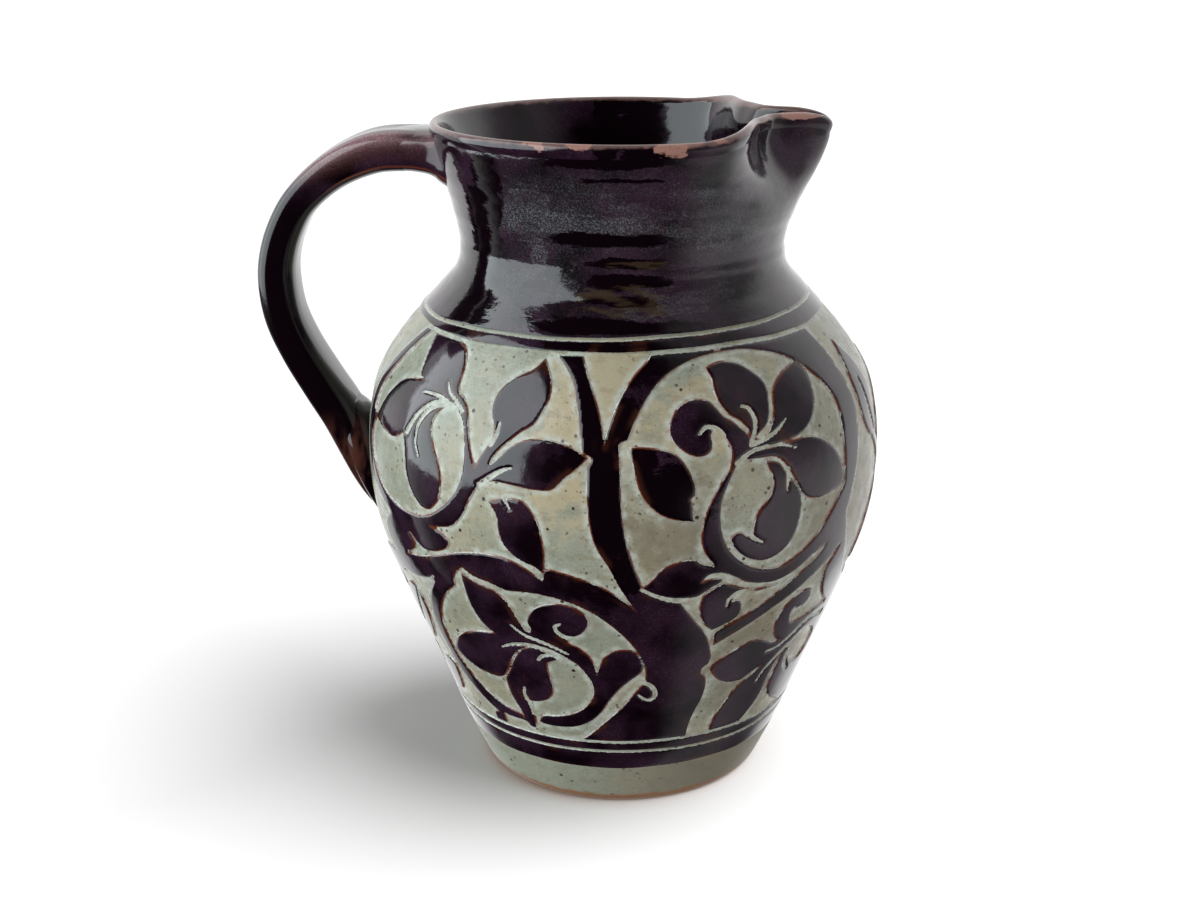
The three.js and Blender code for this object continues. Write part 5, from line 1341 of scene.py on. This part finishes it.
def wall_material():
    """Pale foot and base, darker and more olive towards the lip side as painted shade, a worn crest that is
    partly a painted highlight, and the dark glossy inside with a painted shade in its middle.
    """
    paint = Paint("thrown_wall")
    height = paint.height()
    across = paint.along("X")
    foot = speckled(paint, pale_clay(paint))
    # Painted shade: the foot darker and more olive towards the lip side
    foot = paint.mix(across.step(*FOOT_SHADE_ACROSS) * 0.75, foot, FOOT_SHADE_OLIVE)
    base_line = (height + paint.wander(2.4, 4, 2)).step(*ORANGE_BASE)
    foot = paint.mix(base_line * 0.85, foot, BASE_ORANGE)
    # Painted shade inside the neck, black in its middle
    dark = slip_colour(paint, patches(paint, PAINTED_INSIDE_SHADE, 12))
    lip = across.step(*LIP_CREST_ACROSS) * across.step(*LIP_END_ACROSS) * LIP_CREST_RISE
    # The crest: worn glaze, and partly a painted highlight
    crest = (height - lip + paint.wander(2.4, 4, 3, shift=12.0)).step(*CREST_WEAR_AND_HIGHLIGHT)
    worn = paint.noise(15, 2, shift=14.0).step(0.6, 0.66)
    dark = paint.mix(crest * (worn * 0.3 + 0.6), dark, paint.mix(worn, CREST_BROWN_AND_HIGHLIGHT, PINK))
    dark = paint.mix(worn_rim(paint) * 0.9, dark, PINK)
    inside = height.step(*FOOT_TO_INSIDE)
    rough = (1 - inside) * 0.35 + crest * 0.12 + 0.1
    relief = paint.noise(8, 3, stretch=(1, 1, 2.4)) + paint.noise(1.4, 2) * 0.1
    return paint.glazed(paint.mix(inside, foot, dark), rough, relief, 0.35, 0.25)


def handle_material():
    """The strap's dark slip, blacker below its top as painted shade, with a painted highlight on its upper
    shoulder, mauve where it faces up and red at its edge, a red line below it and a redder tail.
    """
    paint = Paint("handle_slip")
    height = paint.height()
    facing = paint.attribute("edge")
    # Painted shade: the strap blacker below its top
    base = slip_colour(paint, height.step(*STRAP_SHADE_BELOW))
    tail = height.step(*STRAP_TAIL) * paint.noise(7, 3, stretch=(1, 1, 0.4), shift=3.0).step(0.42, 0.6)
    base = paint.mix(tail * 0.5, base, TAIL_RED)
    along = paint.noise(9, 3, stretch=(0.3, 1, 1), shift=5.0)
    grain = paint.noise(0.6, 2, roughness=0.8).step(0.35, 0.75)
    # Painted highlight on the strap's upper shoulder
    shoulder = facing.step(-0.35, 0.3) * facing.step(0.95, 0.75) * height.step(*STRAP_HIGHLIGHT)
    band = paint.mix(facing.step(-0.1, 0.6), HIGHLIGHT_RED, HIGHLIGHT_MAUVE)
    base = paint.mix(shoulder * (grain * 0.5 + 0.4) * along.step(0.2, 0.45), base, band)
    red_line = facing.step(-0.56, -0.5) * facing.step(-0.38, -0.44) * height.step(*STRAP_LINE)
    base = paint.mix(red_line * along.step(0.3, 0.5) * 0.8, base, LINE_RED)
    relief = paint.noise(14, 3, stretch=(0.5, 2, 0.5)) + paint.noise(2, 2) * 0.15
    return paint.glazed(base, 0.12, relief, 0.35, 0.3)


# The jug

relief_grid = relief()
clay_wall = wall_material()
clay_ground = ground_material()
cut_slip = cut_slip_material()
neck_slip = neck_slip_material()
strap_slip = handle_material()

finish_piece(wall_sheet(), clay_wall, "thrown_body")
finish_piece(ground_sheet(relief_grid[2]), clay_ground, "thrown_body")
finish_piece(neck_sheet(), neck_slip, "neck_slip_coat")

for name, low_ring, low_gap, high_ring in [
    ("shoulder", LOW_SHOULDER, HALF_RING, HIGH_SHOULDER),
    ("high_foot", LOW_FOOT, HALF_RING, HIGH_FOOT),
    ("low_foot", FOOT_LINE, 0, LOW_FOOT),
]:
    band = band_sheet(
        f"{name}_band",
        lambda turn: ring_height(low_ring, turn) + low_gap,
        lambda turn: ring_height(high_ring, turn) - HALF_RING,
    )
    finish_piece(band, cut_slip, f"{name}_slip_band")

for name, piece in slip_pieces(relief_grid).items():
    finish_piece(piece, cut_slip, f"{name}_slip")

for name, stations, steps, groove, node in [
    ("pulled_strap", STRAP, 8, STRAP_GROOVE, "pulled_handle"),
    ("upper_join", UPPER_JOIN, 10, 0, "upper_handle_join"),
    ("lower_join", LOWER_JOIN, 8, 0, "lower_handle_join"),
]:
    finish_piece(strap_sheet(name, stations, steps, groove), strap_slip, node)


# The floor, the light and the camera


def floor():
    """The pale floor, which only the camera sees: the glaze doesn't mirror it and it lights nothing."""
    bpy.ops.mesh.primitive_plane_add(size=1, location=(0, FLOOR_DEPTH / 2 - FLOOR_FRONT, 0))
    plane = bpy.context.object
    plane.name = "studio_floor"
    plane.scale = (FLOOR_DEPTH, FLOOR_DEPTH, 1)
    bpy.ops.object.transform_apply(location=True, rotation=False, scale=True)
    paint = Paint("studio_floor")
    plane.data.materials.append(paint.plain(paint.mix(paint.noise(900, 1) * 0.1, *FLOOR_TONES), 0.9))
    for rays in ("glossy", "diffuse", "shadow"):
        setattr(plane, f"visible_{rays}", False)
    deselect()
    return plane


def around(azimuth, distance, height):
    """A place round the jug, in degrees from the camera's side towards the lip, and metres."""
    angle = math.radians(azimuth)
    return Vector((distance * math.sin(angle), -distance * math.cos(angle), height))


def shines_only_on(lamp, name, objects):
    """Light linking: the lamp lights these objects and no others, though anything may shade them."""
    lit = bpy.data.collections.new(name)
    for thing in objects:
        lit.objects.link(thing)
    lamp.light_linking.receiver_collection = lit


def softbox(name, place, aim, size, radiance):
    light = bpy.data.lights.new(name, "AREA")
    light.shape = "RECTANGLE"
    light.size, light.size_y = size
    light.energy = radiance * math.pi * size[0] * size[1]
    light.color = PANEL_TINT
    lamp = bpy.data.objects.new(name, light)
    bpy.context.collection.objects.link(lamp)
    lamp.location = place
    lamp.rotation_euler = (Vector(aim) - Vector(place)).to_track_quat("-Z", "Y").to_euler()
    return lamp


def sunlight(azimuth, elevation, strength, angle):
    """Even light with a soft shadow, which the glaze doesn't mirror."""
    light = bpy.data.lights.new("window", "SUN")
    light.energy = strength
    light.angle = math.radians(angle)
    lamp = bpy.data.objects.new("window", light)
    bpy.context.collection.objects.link(lamp)
    lamp.visible_glossy = False
    source = around(azimuth, math.cos(math.radians(elevation)), math.sin(math.radians(elevation)))
    lamp.rotation_euler = (-source).to_track_quat("-Z", "Y").to_euler()
    return lamp


def black_card(name, azimuth, distance, width, low, high):
    """A black card beside the set, which shows only as a dark shape mirrored in the glaze."""
    bpy.ops.mesh.primitive_grid_add(x_subdivisions=4, y_subdivisions=4, size=1)
    card = bpy.context.object
    card.name = name
    side = around(azimuth + 90, 1, 0)
    middle = around(azimuth, distance, 0)
    for vertex in card.data.vertices:
        across, up = vertex.co.x, vertex.co.y + 0.5
        vertex.co = middle + side * across * width + Vector((0, 0, low + up * (high - low)))
    paint = Paint(name)
    card.data.materials.append(paint.plain(paint.mix(paint.noise(50, 1), *CARD_TONES), 1.0))
    for rays in ("camera", "diffuse", "shadow", "transmission"):
        setattr(card, f"visible_{rays}", False)
    deselect()


def surroundings():
    """White to the camera, and a pale room as light. The glaze mirrors it dark in front, paler to the right
    and bright behind."""
    world = bpy.data.worlds.new("studio")
    bpy.context.scene.world = world
    world.use_nodes = True
    nodes = Nodes(world.node_tree)
    place = nodes.node("ShaderNodeTexCoord", {}, {}, "Generated")
    x, y, z = (nodes.node("ShaderNodeSeparateXYZ", {}, {0: place}, axis) for axis in "XYZ")
    azimuth = x.math("ARCTAN2", 0 - y) * math.degrees(1)
    behind = y.step(0.02, 0.5)
    ahead = 1 - behind
    back = behind * BACK_GLOW * z.step(-0.82, -0.4).math("MAXIMUM", y.step(0.45, 0.7))
    right = azimuth.step(34, 66) * ahead * RIGHT_GLOW
    low_right = x.step(0.3, 0.95) * ahead * z.step(0.0, -0.3) * z.step(-0.72, -0.4) * LOW_RIGHT_GLOW
    left = x.step(-0.55, -0.95) * ahead * z.step(-0.5, -0.2) * LEFT_GLOW
    mirrored = right + back + low_right + left
    seen = nodes.node("ShaderNodeLightPath", {}, {}, "Is Camera Ray")
    diffuse = nodes.node("ShaderNodeLightPath", {}, {}, "Is Diffuse Ray")
    room = (1 - x.step(0.1, -0.7) * 0.5) * ROOM_LIGHT
    strength = mirrored * (1 - diffuse) * (1 - seen) + diffuse * room + seen * BACKDROP
    background = nodes.tree.nodes["Background"]
    background.inputs["Color"].default_value = (1, 1, 1, 1)
    nodes.tree.links.new(strength.socket, background.inputs["Strength"])


def camera():
    lens = bpy.data.cameras.new("camera")
    lens.lens = SENSOR_WIDTH * CAMERA_FOCAL / IMAGE_WIDTH
    lens.shift_x = -(CAMERA_AXIS - IMAGE_WIDTH / 2) / IMAGE_WIDTH
    viewer = bpy.data.objects.new("camera", lens)
    bpy.context.collection.objects.link(viewer)
    viewer.location = CAMERA_PLACE
    viewer.rotation_euler = (math.pi / 2 - CAMERA_PITCH, 0, 0)
    bpy.context.scene.camera = viewer


jug = [thing for thing in bpy.context.scene.objects if thing.type == "MESH"]
floor_plane = floor()
surroundings()
shines_only_on(sunlight(*FLOOR_SUN), "floor_light", [floor_plane])
panel = softbox("left_panel", around(*PANEL_PLACE), PANEL_AIM, PANEL_SIZE, PANEL_RADIANCE)
shines_only_on(panel, "panel_light", jug)
shines_only_on(sunlight(*BACK_SUN), "back_light", jug)
shines_only_on(sunlight(*FRONT_SUN), "front_light", jug)
black_card("left_gap_low", *LOW_CARD)
black_card("left_gap_high", *HIGH_CARD)
camera()
bpy.context.scene.view_settings.view_transform = "Standard"
